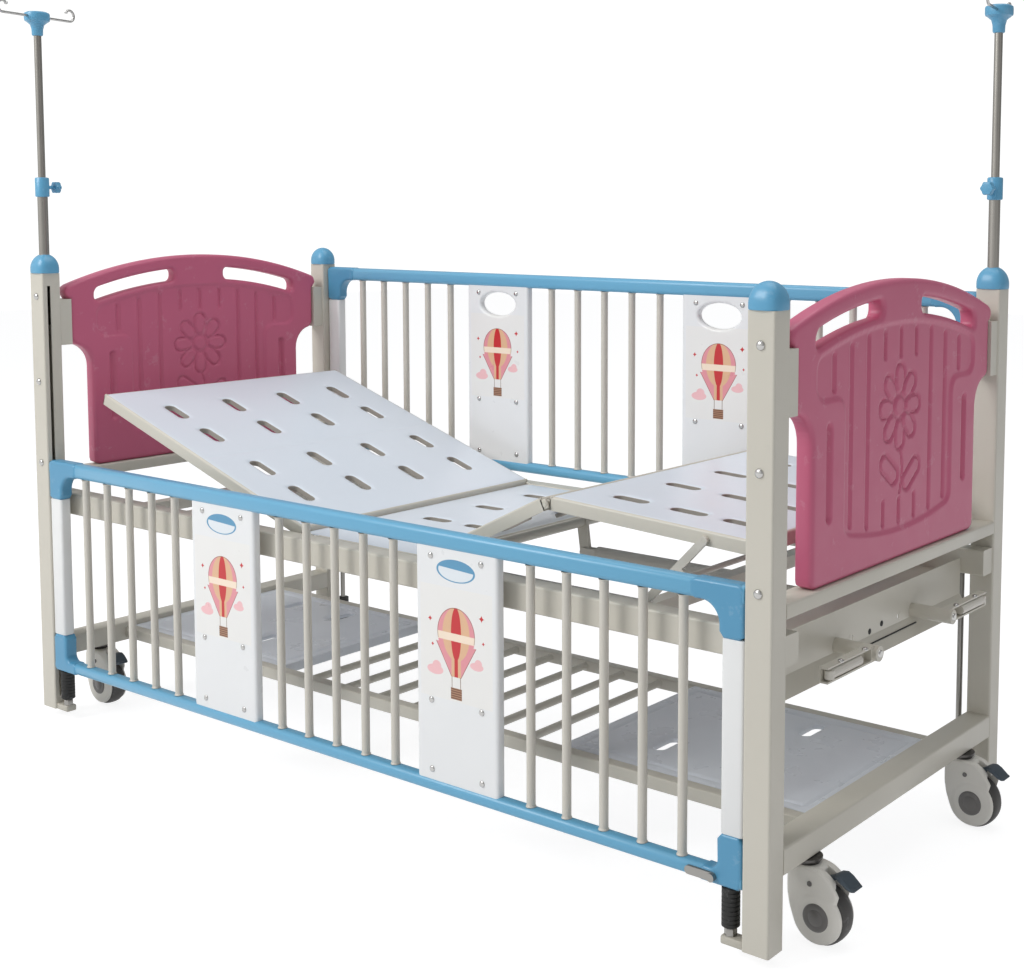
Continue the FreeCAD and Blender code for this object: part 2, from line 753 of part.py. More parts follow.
# thigh section
leg_half = deck_half - ear_thick - 2
thigh_slots = [(thigh_length * 0.5, across) for across in slot_lines]
thigh_pan = pan("thigh", 2, thigh_length, deck_half, thigh_slots, (False, True))
thigh_bits = [thigh_pan] + pins("thigh", 0)
for i, sy in enumerate((-1, 1)):
    y0 = -deck_half if sy < 0 else deck_half - ear_thick
    thigh_bits.append(stick("thigh_boss_%d" % i, torque_radius, ear_thick, 0, y0, 0, "y"))
    y1 = -deck_half if sy < 0 else deck_half - ear_thick
    thigh_bits.append(box("knee_ear_%d" % i, 40, ear_thick, 18, thigh_length - 34 + knee_gap / 2,
                          y1 + sy * 0, -8))
thigh_bits.append(stick("thigh_torque", torque_radius, deck_half * 2 - 2, 0, -(deck_half - 1), 0, "y"))
thigh_bits.append(lever("thigh_drive", thigh_lever, thigh_lever_lean, screw_y))
thigh_blank = fuse("thigh_blank", thigh_bits)
knee_eyes = []
for i, sy in enumerate((-1, 1)):
    y0 = -(deck_half + 1) if sy < 0 else deck_half - ear_thick - 1
    knee_eyes.append(rod("knee_eye_%d" % i, 4 + run_gap, ear_thick + 2, knee_x, y0, 0, "y"))
for i, sy in enumerate((-1, 1)):
    y0 = -(deck_half - ear_thick) if sy < 0 else leg_half - ear_thick - 3
    knee_eyes.append(box("knee_notch_%d" % i, sheet_thick + 2, ear_thick + 5, flange_high,
                         thigh_length - sheet_thick - 1, y0,
                         pivot_drop - sheet_thick - flange_high))
thigh_whole = cut("thigh_whole", thigh_blank, knee_eyes)
node("thigh_section", locate(thigh_whole, shift + thigh_pivot, 0, pivot_z, (0, 1, 0), -thigh_tilt))

# leg section, hung on the knee pins inside the thigh's ears
knee_world_x = thigh_pivot + knee_x * cosine(thigh_tilt)
knee_world_z = pivot_z + knee_x * sine(thigh_tilt)
leg_slots = []
for along in (leg_row_start, leg_length - leg_row_end - leg_row_step, leg_length - leg_row_end):
    for across in slot_lines:
        leg_slots.append((knee_gap / 2 + along, across))
leg_pan = pan("leg", knee_gap / 2 + 2, knee_gap / 2 + leg_length, leg_half, leg_slots)
leg_bits = [leg_pan]
for i, sy in enumerate((-1, 1)):
    y0 = -leg_half if sy < 0 else leg_half - ear_thick
    leg_bits.append(box("leg_ear_%d" % i, 46, ear_thick, 14, -7, y0, -7))
    leg_bits.append(stick("leg_pin_%d" % i, 4, ear_thick + 8, 0,
                        sy * (leg_half - ear_thick), 0, "y" if sy > 0 else "-y"))
    leg_bits.append(stick("prop_pin_%d" % i, 4, ear_thick + 4, prop_along, sy * (leg_half - sheet_thick),
                        0, "y" if sy > 0 else "-y"))
leg_whole = fuse("leg_whole", leg_bits)
node("leg_section", locate(leg_whole, shift + knee_world_x, 0, knee_world_z, (0, 1, 0), leg_drop))

# leg prop: two arms beside the leg section, their toes in the beams' tracks
prop_bits = []
prop_eyes = []
for i, sy in enumerate((-1, 1)):
    y0 = -deck_half if sy < 0 else deck_half - ear_thick
    prop_bits.append(box("prop_arm_%d" % i, prop_long, ear_thick, prop_wide * 0.6,
                         -prop_long, y0, -(prop_wide * 0.3)))
    prop_bits.append(stick("prop_eye_%d" % i, prop_wide * 0.3, ear_thick, 0, y0, 0, "y"))
    prop_bits.append(stick("prop_toe_%d" % i, prop_wide * 0.3, ear_thick, -prop_long, y0, 0, "y"))
    prop_bits.append(stick("prop_stub_%d" % i, pin_radius - 1, ear_thick + deck_side_gap + tube_wall + 3,
                         -prop_long, sy * (deck_half - ear_thick), 0, "y" if sy > 0 else "-y"))
    prop_bits.append(box("prop_tab_%d" % i, prop_wide * 0.6, ear_thick, prop_drop + 4,
                         -(prop_tie + prop_wide * 0.3), y0, -prop_drop - 4))
    prop_eyes.append(rod("prop_bore_%d" % i, 4 + run_gap, ear_thick + 2, 0, y0 - 1, 0, "y"))
prop_bits.append(stick("prop_rod", pin_radius - 1, deck_half * 2 - 2, -prop_tie, -(deck_half - 1),
                     -prop_drop, "y"))
prop_blank = fuse("prop_blank", prop_bits)
prop_whole = cut("prop_whole", prop_blank, prop_eyes)
prop_world_x = knee_world_x + prop_along * cosine(leg_drop)
prop_world_z = knee_world_z - prop_along * sine(leg_drop)
node("leg_prop", locate(prop_whole, shift + prop_world_x, 0, prop_world_z, (0, 1, 0), -prop_tilt))


# ---------------------------------------------------------------- crank drives
def push_tube(tag, length, y, x, z):
    """A tube over the screw, with a fork round the lever's pin."""
    bore = push_radius - push_wall
    barrel = stick(tag + "_barrel", push_radius, length - fork_long, fork_long, 0, 0, "x", 16)
    inside = stick(tag + "_inside", bore, length - fork_long + 1, fork_long + 6, 0, 0, "x", 16)
    cheeks = []
    for i, sy in enumerate((-1, 1)):
        y0 = lever_thick / 2 + 1 if sy > 0 else -(lever_thick / 2 + 1 + fork_thick)
        cheeks.append(box("%s_cheek_%d" % (tag, i), fork_long + 4, fork_thick, 20, -2, y0, -10))
        cheeks.append(stick("%s_round_%d" % (tag, i), 10, fork_thick, 0, y0, 0, "y"))
    bolt = stick(tag + "_bolt", lever_wide / 4, lever_thick + 2 + fork_thick * 2, 0,
               -(lever_thick / 2 + 1 + fork_thick), 0, "y")
    hollow = cut(tag + "_hollow", barrel, [inside])
    whole = fuse(tag + "_push", [hollow] + cheeks + [bolt])
    return locate(whole, x, y, z)


back_swing = back_tilt - back_lever_lean
back_pin_x = back_pivot - lever_long * sine(back_swing)
back_pin_z = pivot_z - lever_long * cosine(back_swing)
node("back_push_tube", push_tube("back_push", back_push_long, -screw_y,
                                 shift + back_pin_x, back_pin_z))
thigh_swing = thigh_tilt - thigh_lever_lean
thigh_pin_x = thigh_pivot + thigh_lever * sine(thigh_swing)
thigh_pin_z = pivot_z - thigh_lever * cosine(thigh_swing)
node("thigh_push_tube", push_tube("thigh_push", thigh_push_long, screw_y,
                                  shift + thigh_pin_x, thigh_pin_z))

arm_x = half_length + 8
for tag, sy in (("back", -1), ("thigh", 1)):
    screw = stick(tag + "_screw", screw_radius, screw_long, shift + inner_x - 12, sy * screw_y,
                  screw_z, "-x")
    hub = rod(tag + "_hub", hub_radius, arm_x - inner_x + 12 + hub_reach, shift + inner_x - 12,
              sy * screw_y, screw_z, "x")
    y0 = sy * screw_y if sy > 0 else -(screw_y + arm_long)
    arm = box(tag + "_arm", arm_deep, arm_long, arm_high, shift + arm_x, y0, screw_z - arm_high / 2)
    hollow_y = y0 + hub_radius + 3 if sy > 0 else y0 - 1
    hollow = box(tag + "_channel", arm_deep, arm_long - hub_radius - 2, arm_high - arm_wall * 2,
                 shift + arm_x + arm_wall, hollow_y, screw_z - arm_high / 2 + arm_wall)
    channel = cut(tag + "_arm_open", arm, [hollow])
    grip_y = sy * (screw_y + arm_long - 12)
    grip_x = shift + arm_x + arm_wall + grip_radius + 0.5
    pivot = stick(tag + "_grip_pin", 2.5, arm_high - 2, grip_x, grip_y, screw_z - arm_high / 2 + 1)
    node(tag + "_crank", fuse(tag + "_crank_all", [screw, hub, channel, pivot]))
    way = "-y" if sy > 0 else "y"
    grip = stick(tag + "_grip_rod", grip_radius, grip_long, grip_x, grip_y, screw_z, way, 16)
    end = stick(tag + "_grip_end", grip_radius, grip_radius * 1.6, grip_x, grip_y,
                screw_z - grip_radius * 0.8, "z", 16)
    bore = rod(tag + "_grip_bore", 2.5 + run_gap, arm_high, grip_x, grip_y, screw_z - arm_high / 2)
    blank = fuse(tag + "_grip_blank", [grip, end])
    node(tag + "_crank_grip", cut(tag + "_grip_all", blank, [bore]))

# ---------------------------------------------------------------- end boards
crown_radius_top = (board_shoulder * board_shoulder + board_crown * board_crown) / (board_crown * 2)
board_base = top_bar_z + top_bar_high
shoulder_z = board_hold_z + board_hold_high
crown_z = shoulder_z + board_shoulder_high + board_crown


def arc(a, b, c):
    return Part.Arc(V(0, a[0], a[1]), V(0, b[0], b[1]), V(0, c[0], c[1])).toShape()


def line(a, b):
    return Part.makeLine(V(0, a[0], a[1]), V(0, b[0], b[1]))


def board_shape():
    """The end board lying in its own frame: outer face at x = 0, going to -x."""
    names = (board_narrow, board_wide, board_shoulder, board_base, board_step_z, board_hold_z,
             shoulder_z, crown_z, board_shoulder_high, board_crown, board_thick)
    narrow, wide, shoulder, base, step, hold, should, crown, rise, sag, thick = [
        float(v) for v in names]
    bend = wide - narrow
    low = hold - bend if hold - bend > step - 30 else step - 30
    middle = (narrow + bend * (1 - math.sqrt(0.5)), low + (hold - low) * math.sqrt(0.5))
    top_side = should + rise - 10
    pieces = [line((-narrow, base), (narrow, base)), line((narrow, base), (narrow, low)),
              arc((narrow, low), middle, (wide, hold)), line((wide, hold), (wide, should)),
              line((wide, should), (shoulder, should)), line((shoulder, should), (shoulder, top_side)),
              line((shoulder, top_side), (shoulder - 6, should + rise + 1.1)),
              arc((shoulder - 6, should + rise + 1.1), (0, crown), (-(shoulder - 6), should + rise + 1.1)),
              line((-(shoulder - 6), should + rise + 1.1), (-shoulder, top_side)),
              line((-shoulder, top_side), (-shoulder, should)), line((-shoulder, should), (-wide, should)),
              line((-wide, should), (-wide, hold)),
              arc((-wide, hold), (-middle[0], middle[1]), (-narrow, low)),
              line((-narrow, low), (-narrow, base))]
    face = Part.Face(Part.Wire(pieces))
    body = face.extrude(V(-thick, 0, 0))
    radius = float(crown_radius_top)
    axis_z = crown - radius
    # hand slots that follow the crown
    outer = Part.makeCylinder(radius - float(hand_edge), thick + 20, V(10, 0, axis_z), V(-1, 0, 0))
    inner = Part.makeCylinder(radius - float(hand_edge) - float(hand_high), thick + 20,
                              V(10, 0, axis_z), V(-1, 0, 0))
    band = outer.cut(inner)
    for sy in (-1, 1):
        y0 = float(hand_inner) if sy > 0 else -float(hand_outer)
        window = Part.makeBox(thick + 20, float(hand_outer) - float(hand_inner), 400,
                              V(-thick - 10, y0, crown - 300))
        body = body.cut(band.common(window))
    # recessed fields with upright ribs on both faces
    deep = float(recess_deep)
    top_arc = Part.makeCylinder(radius - float(recess_drop), thick + 20, V(10, 0, axis_z),
                                V(-1, 0, 0))
    low = float(recess_low_z)
    drop = float(recess_crown)
    half = float(recess_narrow)
    low_radius = (half * half + drop * drop) / (2 * drop)
    low_arc = Part.makeCylinder(low_radius, thick + 20, V(10, 0, low - drop + low_radius),
                                V(-1, 0, 0))
    for side in (0, 1):
        x0 = -deep if side == 0 else -thick - 1
        wide_part = Part.makeBox(deep + 1, 2 * float(recess_wide), 400,
                                 V(x0, -float(recess_wide), float(recess_step_z)))
        narrow_part = Part.makeBox(deep + 1, 2 * half, float(recess_step_z) - low + drop + 2,
                                   V(x0, -half, low - drop - 1))
        field = wide_part.common(top_arc).fuse(narrow_part.common(low_arc))
        body = body.cut(field)
        rib = float(rib_wide)
        more = float(rib_deep)
        for i in range(-4, 5):
            y0 = i * float(rib_pitch)
            ends = [(low + 10, crown - float(recess_drop) - 22)]
            if abs(i) == 4:
                ends = [(float(recess_step_z) + 14, crown - float(recess_drop) - 44)]
            if abs(i) < 2:
                ends = [(low - 4, low + 30), (crown - float(recess_drop) - 62,
                                              crown - float(recess_drop) - 18)]
            for z0, z1 in ends:
                x1 = -deep - more if side == 0 else -thick + deep - 1
                slot = Part.makeBox(more + 1, rib, z1 - z0, V(x1, y0 - rib / 2, z0))
                body = body.cut(slot)
    return body.removeSplitter()


board = board_shape()
for end, ex in ENDS:
    panel = doc.addObject("Part::Feature", end + "board")
    panel.Shape = board
    if ex > 0:
        panel.Placement = FreeCAD.Placement(V(float(shift + half_length - board_set), 0, 0),
                                            FreeCAD.Rotation())
    else:
        panel.Placement = FreeCAD.Placement(V(float(shift - half_length + board_set), 0, 0),
                                            FreeCAD.Rotation(V(0, 0, 1), 180))
    node(end + "board", panel)

# ---------------------------------------------------------------- shelf
rails = []
for side, sy in SIDES:
    rail = box_tube("shelf_rail_" + side, shelf_rail_wide, shelf_rail_wide, inner_x * 2, 2)
    locate(rail, shift - inner_x, sy * (shelf_rail_y + shelf_rail_wide / 2),
           shelf_z + shelf_rail_wide / 2, (0, 1, 0), 90)
    rails.append(rail)
node("shelf_rails", together("shelf_rail_pair", rails))
bars = []
for i in range(-3, 4):
    bars.append(stick("shelf_bar_%d" % (i + 3), shelf_bar_radius, shelf_rail_y * 2,
                    shift + shelf_bar_pitch * i, -shelf_rail_y,
                    shelf_z + shelf_rail_wide / 2, "y"))
node("shelf_bars", together("shelf_bar_set", bars))
tray_top = shelf_z + shelf_rail_wide
for end, ex in ENDS:
    x0 = tray_start if ex > 0 else -inner_x
    long = inner_x - tray_start
    half = shelf_rail_y
    skin = box("tray_skin_" + end, long, half * 2, tray_skirt, shift + x0, -half,
               tray_top - tray_skirt)
    under = box("tray_under_" + end, long - sheet_thick * 2, half * 2 - sheet_thick * 2,
                tray_skirt, shift + x0 + sheet_thick, -half + sheet_thick,
                tray_top - tray_skirt - sheet_thick)
    vents = []
    for i, across in enumerate((-0.6, -0.2, 0.2, 0.6)):
        vents.append(obround("tray_vent_%s_%d" % (end, i), 150, 18, 20,
                             shift + x0 + long / 2, half * across, tray_top - 10))
    node("%s_shelf_tray" % end, cut("tray_" + end, skin, [under] + vents))

# ---------------------------------------------------------------- side rails
rail_centre_low = rail_low_z + rail_low_high / 2
bars_z = rail_low_z + rail_low_high
rail_top_z = bars_z + rail_bar_high
for side, sy in SIDES:
    lift = as_size(0) if sy < 0 else rail_travel
    y = sy * rail_y
    tubes = []
    for level in ("low", "top"):
        high = rail_low_high if level == "low" else rail_top_high
        base = rail_low_z if level == "low" else rail_top_z
        label = "rail_%s_%s" % (side, level)
        tube = bar_body(label + "_bar", high, rail_deep, rail_end * 2, rail_round, rail_wall)
        locate(tube, shift - rail_end, y, lift + base + high / 2, (0, 1, 0), 90)
        bits = [tube]
        holes = []
        for end, ex in ENDS:
            tag = label + "_" + end
            leg = corner_leg if level == "top" else foot_leg
            bend = corner_round if level == "top" else foot_round
            leg_z = lift + (base - leg if level == "top" else base + high)
            if level == "top":
                block_z = leg_z
                block_high = leg + high / 2
            else:
                block_z = lift + base + high / 2
                block_high = leg + high / 2
            x0 = rail_end - corner_wide if ex > 0 else -rail_end
            bits.append(box(tag + "_leg", corner_wide, rail_deep, block_high, shift + x0,
                            y - rail_deep / 2, block_z))
            web_x = rail_end - corner_wide - bend if ex > 0 else -(rail_end - corner_wide)
            web_z = base - bend if level == "top" else base + high
            web_low = lift + web_z if level == "top" else lift + web_z - high / 2
            web = box(tag + "_web", bend, rail_deep, bend + high / 2, shift + web_x,
                      y - rail_deep / 2, web_low)
            axis_x = rail_end - corner_wide - bend if ex > 0 else -(rail_end - corner_wide - bend)
            axis_z = lift + base - bend if level == "top" else lift + base + high + bend
            scoop = rod(tag + "_scoop", bend, rail_deep + 2, shift + axis_x,
                        y - rail_deep / 2 - 1, axis_z, "y")
            bits.append(cut(tag + "_fillet", web, [scoop]))
            bore_z = lift + base - 2 if level == "low" else leg_z - 2
            bore_high = leg + high + 4 if level == "low" else rod_top - leg_z + lift + 6
            holes.append(stick(tag + "_bore", (rod_radius + rod_gap) / cosine(as_size(11.25)),
                               bore_high, shift + ex * rod_x, y, bore_z, "z", 16))
        whole = fuse(label + "_blank", bits)
        tubes.append(cut(label + "_bored", whole, holes))
    node(side + "_rail_tubes", together("rail_tubes_" + side, tubes))
    uprights = []
    slats = []
    for end, ex in ENDS:
        low_z = bars_z + foot_leg
        high_z = rail_top_z - corner_leg
        upright = box_tube("upright_%s_%s" % (side, end), upright_wide, rail_deep - 2,
                           high_z - low_z, upright_wall)
        locate(upright, shift + ex * (rail_end - upright_wide / 2), y, lift + low_z)
        slats.append(upright)
    for group in (-1, 0, 1):
        for i in range(-2, 3):
            tag = "slat_%s_%d_%d" % (side, group + 1, i + 2)
            slat_x = shift + group_pitch * group + bar_pitch * i
            slat = stick(tag, bar_radius, rail_bar_high, slat_x, y, lift + bars_z, "z", 8)
            core = stick(tag + "_core", bar_radius - bar_wall, rail_bar_high + 2, slat_x, y,
                         lift + bars_z - 1, "z", 8)
            slats.append(cut(tag + "_tube", slat, [core]))
    node(side + "_rail_bars", together("rail_bars_" + side, slats))
    for end, ex in ENDS:
        name = "%s_%s_panel" % (side, end)
        panel = bar_body("panel_%s_%s" % (side, end), panel_wide, panel_thick, rail_bar_high,
                         panel_thick * 0.4)
        locate(panel, shift + ex * panel_centre, y, lift + bars_z)
        if sy < 0:
            node(name, panel)
        else:
            hand = obround("hand_%s_%s" % (side, end), hole_long, hole_high, panel_thick + 4,
                           0, 0, 0)
            locate(hand, shift + ex * panel_centre, y + panel_thick / 2 + 2,
                   lift + rail_top_z - hole_drop, (1, 0, 0), 90)
            node(name, cut("panel_open_%s_%s" % (side, end), panel, [hand]))
    # spring latch on the outer face of the lower tube
    face_y = rail_y + rail_deep / 2
    latch_x = rail_end - latch_inset
    blade_y = sy * (face_y + seat_gap) if sy > 0 else -(face_y + seat_gap + latch_thick)
    blade = box("latch_blade_" + side, latch_long, latch_thick, latch_high, shift + latch_x,
                blade_y, lift + rail_centre_low - latch_high / 2)
    nose = rod("latch_nose_" + side, latch_high / 2, latch_thick, shift + latch_x, blade_y,
               lift + rail_centre_low, "y")
    thumb = stick("latch_thumb_" + side, latch_high / 2, latch_thick + 4,
                shift + latch_x + latch_long,
                blade_y if sy > 0 else blade_y - 4, lift + rail_centre_low, "y")
    node(side + "_rail_latch", fuse("latch_" + side, [blade, nose, thumb]))

# ---------------------------------------------------------------- guide rods
guides = []
buffers = []
for end, ex in ENDS:
    for side, sy in SIDES:
        tag = end + "_" + side
        shank = stick("guide_" + tag, rod_radius, rod_top - rod_foot_z - 2, shift + ex * rod_x,
                      sy * rail_y, rod_foot_z + 2, "z", 16)
        x0 = rod_x - 12 if ex > 0 else -inner_x
        foot = box("guide_foot_" + tag, rod_inset + 12, 24, rod_foot_high, shift + x0,
                   sy * rail_y - 12, rod_foot_z)
        nut = stick("guide_nut_" + tag, 11, 12, shift + ex * rod_x, sy * rail_y,
                    rod_foot_z + rod_foot_high, "z", 6)
        guides.append(fuse("guide_all_" + tag, [shank, foot, nut]))
        sleeve = stick("buffer_" + tag, buffer_radius, rail_low_z - buffer_z - seat_gap,
                       shift + ex * rod_x, sy * rail_y, buffer_z, "z", 12)
        hole = stick("buffer_hole_" + tag, rod_radius + seat_gap * 2, 200, shift + ex * rod_x,
                     sy * rail_y, buffer_z - 50, "z", 12)
        buffers.append(cut("buffer_all_" + tag, sleeve, [hole]))
node("guide_rods", together("guide_set", guides))
node("guide_buffers", together("buffer_set", buffers))

# ---------------------------------------------------------------- casters
fork_wide = wheel_wide + cheek_gap * 2 + cheek_thick * 2
for end, ex in ENDS:
    for side, sy in SIDES:
        tag = end + "_" + side
        x = shift + ex * caster_x
        y = sy * caster_y
        wheel_x = x + trail
        cheek = stick("cheek_" + tag, cheek_radius, fork_wide, wheel_x, y - fork_wide / 2,
                      wheel_radius, "y", 24)
        hood_top = low_bar_z - seat_gap - bearing_high
        crown = box("hood_" + tag, bearing_radius + trail + 24, fork_wide, hood_top - wheel_radius,
                    x - bearing_radius, y - fork_wide / 2, wheel_radius)
        well = stick("well_" + tag, wheel_radius + wheel_room, wheel_wide + cheek_gap * 2, wheel_x,
                     y - wheel_wide / 2 - cheek_gap, wheel_radius, "y", 24)
        skirt = box("skirt_" + tag, wheel_radius * 2 + 40, wheel_wide + cheek_gap * 2,
                    wheel_radius, wheel_x - wheel_radius - 3, y - wheel_wide / 2 - cheek_gap,
                    0)
        blank = fuse("fork_blank_" + tag, [cheek, crown])
        trim = stick("trim_" + tag, bearing_radius + trail + 24, fork_wide + 2, x + 16,
                     y - fork_wide / 2 - 1, wheel_radius - 4, "y", 24)
        shaped = common("fork_shape_" + tag, [blank, trim])
        gate = box("gate_" + tag, pedal_start + 30, pedal_arm + cheek_gap, 60,
                   wheel_x + pedal_pivot_x - 8, y - (pedal_arm + cheek_gap) / 2,
                   wheel_radius + pedal_pivot_z - 18)
        hollow = cut("fork_hollow_" + tag, shaped, [well, skirt, gate])
        pedal_axle = stick("pedal_axle_" + tag, pedal_pin, pedal_arm + 6, wheel_x + pedal_pivot_x,
                         y - (pedal_arm + 6) / 2, wheel_radius + pedal_pivot_z, "y")
        ring = stick("ring_" + tag, bearing_radius, bearing_high + 8, x, y,
                     low_bar_z - seat_gap - bearing_high - 8, "z", 24)
        axle = stick("axle_" + tag, axle_radius, fork_wide, wheel_x, y - fork_wide / 2,
                   wheel_radius, "y")
        clear = stick("clear_" + tag, wheel_radius + wheel_room, wheel_wide + cheek_gap * 2, wheel_x,
                      y - wheel_wide / 2 - cheek_gap, wheel_radius, "y", 24)
        ring_cut = cut("ring_cut_" + tag, ring, [clear])
        node("caster_fork_" + tag, fuse("fork_all_" + tag, [hollow, ring_cut, axle, pedal_axle]))
        crown_wide = wheel_wide - tread_side * 2
        tread = stick("wheel_tread_" + tag, wheel_radius, crown_wide, wheel_x, y - crown_wide / 2,
                      wheel_radius, "y", 24)
        flank = stick("wheel_flank_" + tag, wheel_radius - tread_drop, wheel_wide, wheel_x,
                      y - wheel_wide / 2, wheel_radius, "y", 24)
        bore = rod("wheel_bore_" + tag, axle_radius + run_gap, wheel_wide + 2, wheel_x,
                   y - wheel_wide / 2 - 1, wheel_radius, "y")
        wheel = cut("wheel_" + tag, fuse("wheel_blank_" + tag, [tread, flank]), [bore])
        node("caster_wheel_" + tag, wheel)
        pad = box("pedal_pad_" + tag, pedal_long, pedal_wide, pedal_thick, pedal_start,
                  -(pedal_wide / 2), -(pedal_thick / 2))
        arm = box("pedal_arm_" + tag, pedal_start + 2, pedal_arm, pedal_thick - 1, 0,
                  -(pedal_arm / 2), -((pedal_thick - 1) / 2))
        boss = stick("pedal_boss_" + tag, pedal_thick / 2 + 0.5, pedal_arm, 0, -(pedal_arm / 2), 0, "y")
        eye = rod("pedal_eye_" + tag, pedal_pin + run_gap, pedal_arm + 2, 0,
                  -(pedal_arm / 2) - 1, 0, "y")
        pedal = cut("pedal_" + tag, fuse("pedal_blank_" + tag, [pad, arm, boss]), [eye])
        locate(pedal, wheel_x + pedal_pivot_x, y, wheel_radius + pedal_pivot_z, (0, 1, 0), pedal_tilt)
        node("brake_pedal_" + tag, pedal)

# ---------------------------------------------------------------- IV poles
for tag, ex, sy, hub_z in (("head", -1, -1, head_hub_z), ("foot", 1, 1, foot_hub_z)):
    x = shift + ex * post_x
    y = sy * post_y
    low_z = post_top - iv_down
    tube = stick("iv_tube_" + tag, iv_radius, collar_z - low_z, x, y, low_z, "z", 20)
    collar = stick("iv_collar_" + tag, collar_radius, collar_high, x, y, collar_z - collar_high / 2,
                   "z", 20)
    bore = stick("iv_bore_" + tag, (pole_radius + pole_gap) / cosine(as_size(9)), 600, x, y,
                 low_z - 50, "z", 20)
    way = "y" if sy < 0 else "-y"
    stem_hole = stick("iv_stem_hole_" + tag, knob_stem + seat_gap, collar_radius + 5, x, y, collar_z,
                      way)
    blank = fuse("iv_blank_" + tag, [tube, collar])
    node(tag + "_iv_socket", cut("iv_socket_" + tag, blank, [bore, stem_hole]))
    toward = -sy
    stem_start = y + toward * (pole_radius + clamp_gap)
    stem = stick("knob_stem_" + tag, knob_stem, knob_reach - knob_long / 2 - pole_radius - clamp_gap + 1, x,
               stem_start, collar_z, way)
    head = stick("knob_head_" + tag, knob_radius, knob_long, x,
                 y + toward * (knob_reach - knob_long / 2), collar_z, way, 16)
    node(tag + "_iv_knob", fuse("knob_" + tag, [stem, head]))
    pole_foot = collar_z - pole_down + (hub_z - foot_hub_z)
    pole = stick("pole_" + tag, pole_radius, hub_z - pole_foot, 0, 0, pole_foot, "z", 20)
    neck = stick("neck_" + tag, neck_radius, neck_high, 0, 0, hub_z - crown_high - neck_high,
                 "z", 20)
    crown = stick("crown_" + tag, crown_radius, crown_high, 0, 0, hub_z - crown_high, "z", 24)
    hooks = []
    for i, way_y in enumerate((-1, 1)):
        path_z = hub_z - crown_high / 2
        arm = stick("hook_arm_%s_%d" % (tag, i), hook_wire, hook_reach - hook_round, 0, 0, path_z,
                  "y" if way_y > 0 else "-y")
        curl_y = way_y * (hook_reach - hook_round)
        outer = stick("hook_out_%s_%d" % (tag, i), hook_round + hook_wire, hook_wire * 1.8,
                      -hook_wire * 0.9, curl_y, path_z + hook_round, "x", 12)
        inner = stick("hook_in_%s_%d" % (tag, i), hook_round - hook_wire, hook_wire * 3,
                      -hook_wire * 1.5, curl_y, path_z + hook_round, "x", 12)
        mouth_y = curl_y - (hook_round + hook_wire + 2) if way_y > 0 else curl_y
        mouth = box("hook_mouth_%s_%d" % (tag, i), hook_wire * 3, hook_round + hook_wire + 2,
                    hook_round + hook_wire + 2, -hook_wire * 1.5, mouth_y, path_z + hook_round)
        ring = cut("hook_curl_%s_%d" % (tag, i), outer, [inner, mouth])
        hooks.extend([arm, ring])
    whole = fuse("pole_all_" + tag, [pole, neck, crown] + hooks)
    node(tag + "_iv_pole", locate(whole, x, y, 0, (0, 0, 1), hook_turn))

# ---------------------------------------------------------------- checks and files
doc.recompute()
for obj in doc.Objects:
    for state in obj.State:
        if state in ("Invalid", "Error"):
            raise RuntimeError("%s is %s" % (obj.Label, state))
os.makedirs("parts", exist_ok=True)
for name, obj in nodes:
    shape = obj.Shape
    if shape.isNull() or not shape.isValid() or not shape.Solids:
        raise RuntimeError("bad shape: " + name)
for name, obj in nodes:
    obj.Shape.exportStep("parts/%s.step" % name)
print("nodes", len(nodes))
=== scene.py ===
# %% [markdown]
# # A pediatric cot, dressed in Blender
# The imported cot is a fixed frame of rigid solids. Each cell below makes one visible part of it as a
# smooth surface in the same place, and gives every part the finish that it has on a real cot.

import math
from functools import partialmethod

import bmesh
import bpy
import numpy as np
from mathutils import Matrix, Vector


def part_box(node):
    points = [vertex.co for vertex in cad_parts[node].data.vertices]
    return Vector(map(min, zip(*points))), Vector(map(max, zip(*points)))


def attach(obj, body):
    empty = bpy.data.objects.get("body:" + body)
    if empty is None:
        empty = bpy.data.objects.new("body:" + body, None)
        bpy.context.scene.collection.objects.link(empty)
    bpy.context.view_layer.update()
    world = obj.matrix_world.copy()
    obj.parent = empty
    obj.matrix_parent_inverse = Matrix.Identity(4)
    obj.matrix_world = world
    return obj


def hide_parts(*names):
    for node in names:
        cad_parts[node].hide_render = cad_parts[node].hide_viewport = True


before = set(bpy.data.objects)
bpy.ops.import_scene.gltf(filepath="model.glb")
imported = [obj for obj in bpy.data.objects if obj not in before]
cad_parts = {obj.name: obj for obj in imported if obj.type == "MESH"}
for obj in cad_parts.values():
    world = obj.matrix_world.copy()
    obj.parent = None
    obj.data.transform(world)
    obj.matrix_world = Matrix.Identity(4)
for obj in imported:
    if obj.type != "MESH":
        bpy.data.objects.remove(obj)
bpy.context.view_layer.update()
scene = bpy.context.scene
ends, sides = (("head", -1), ("foot", 1)), (("front", -1), ("rear", 1))
stations = [("%s_%s" % (end, side), sign, sign_y) for end, sign in ends for side, sign_y in sides]

# %% [markdown]
# ## The viewpoint
# A product view from the foot end, a little above the posts. The lens is a 52 mm one on a 36 mm
# sensor, shifted so that the uprights stay parallel as they do on a view camera.

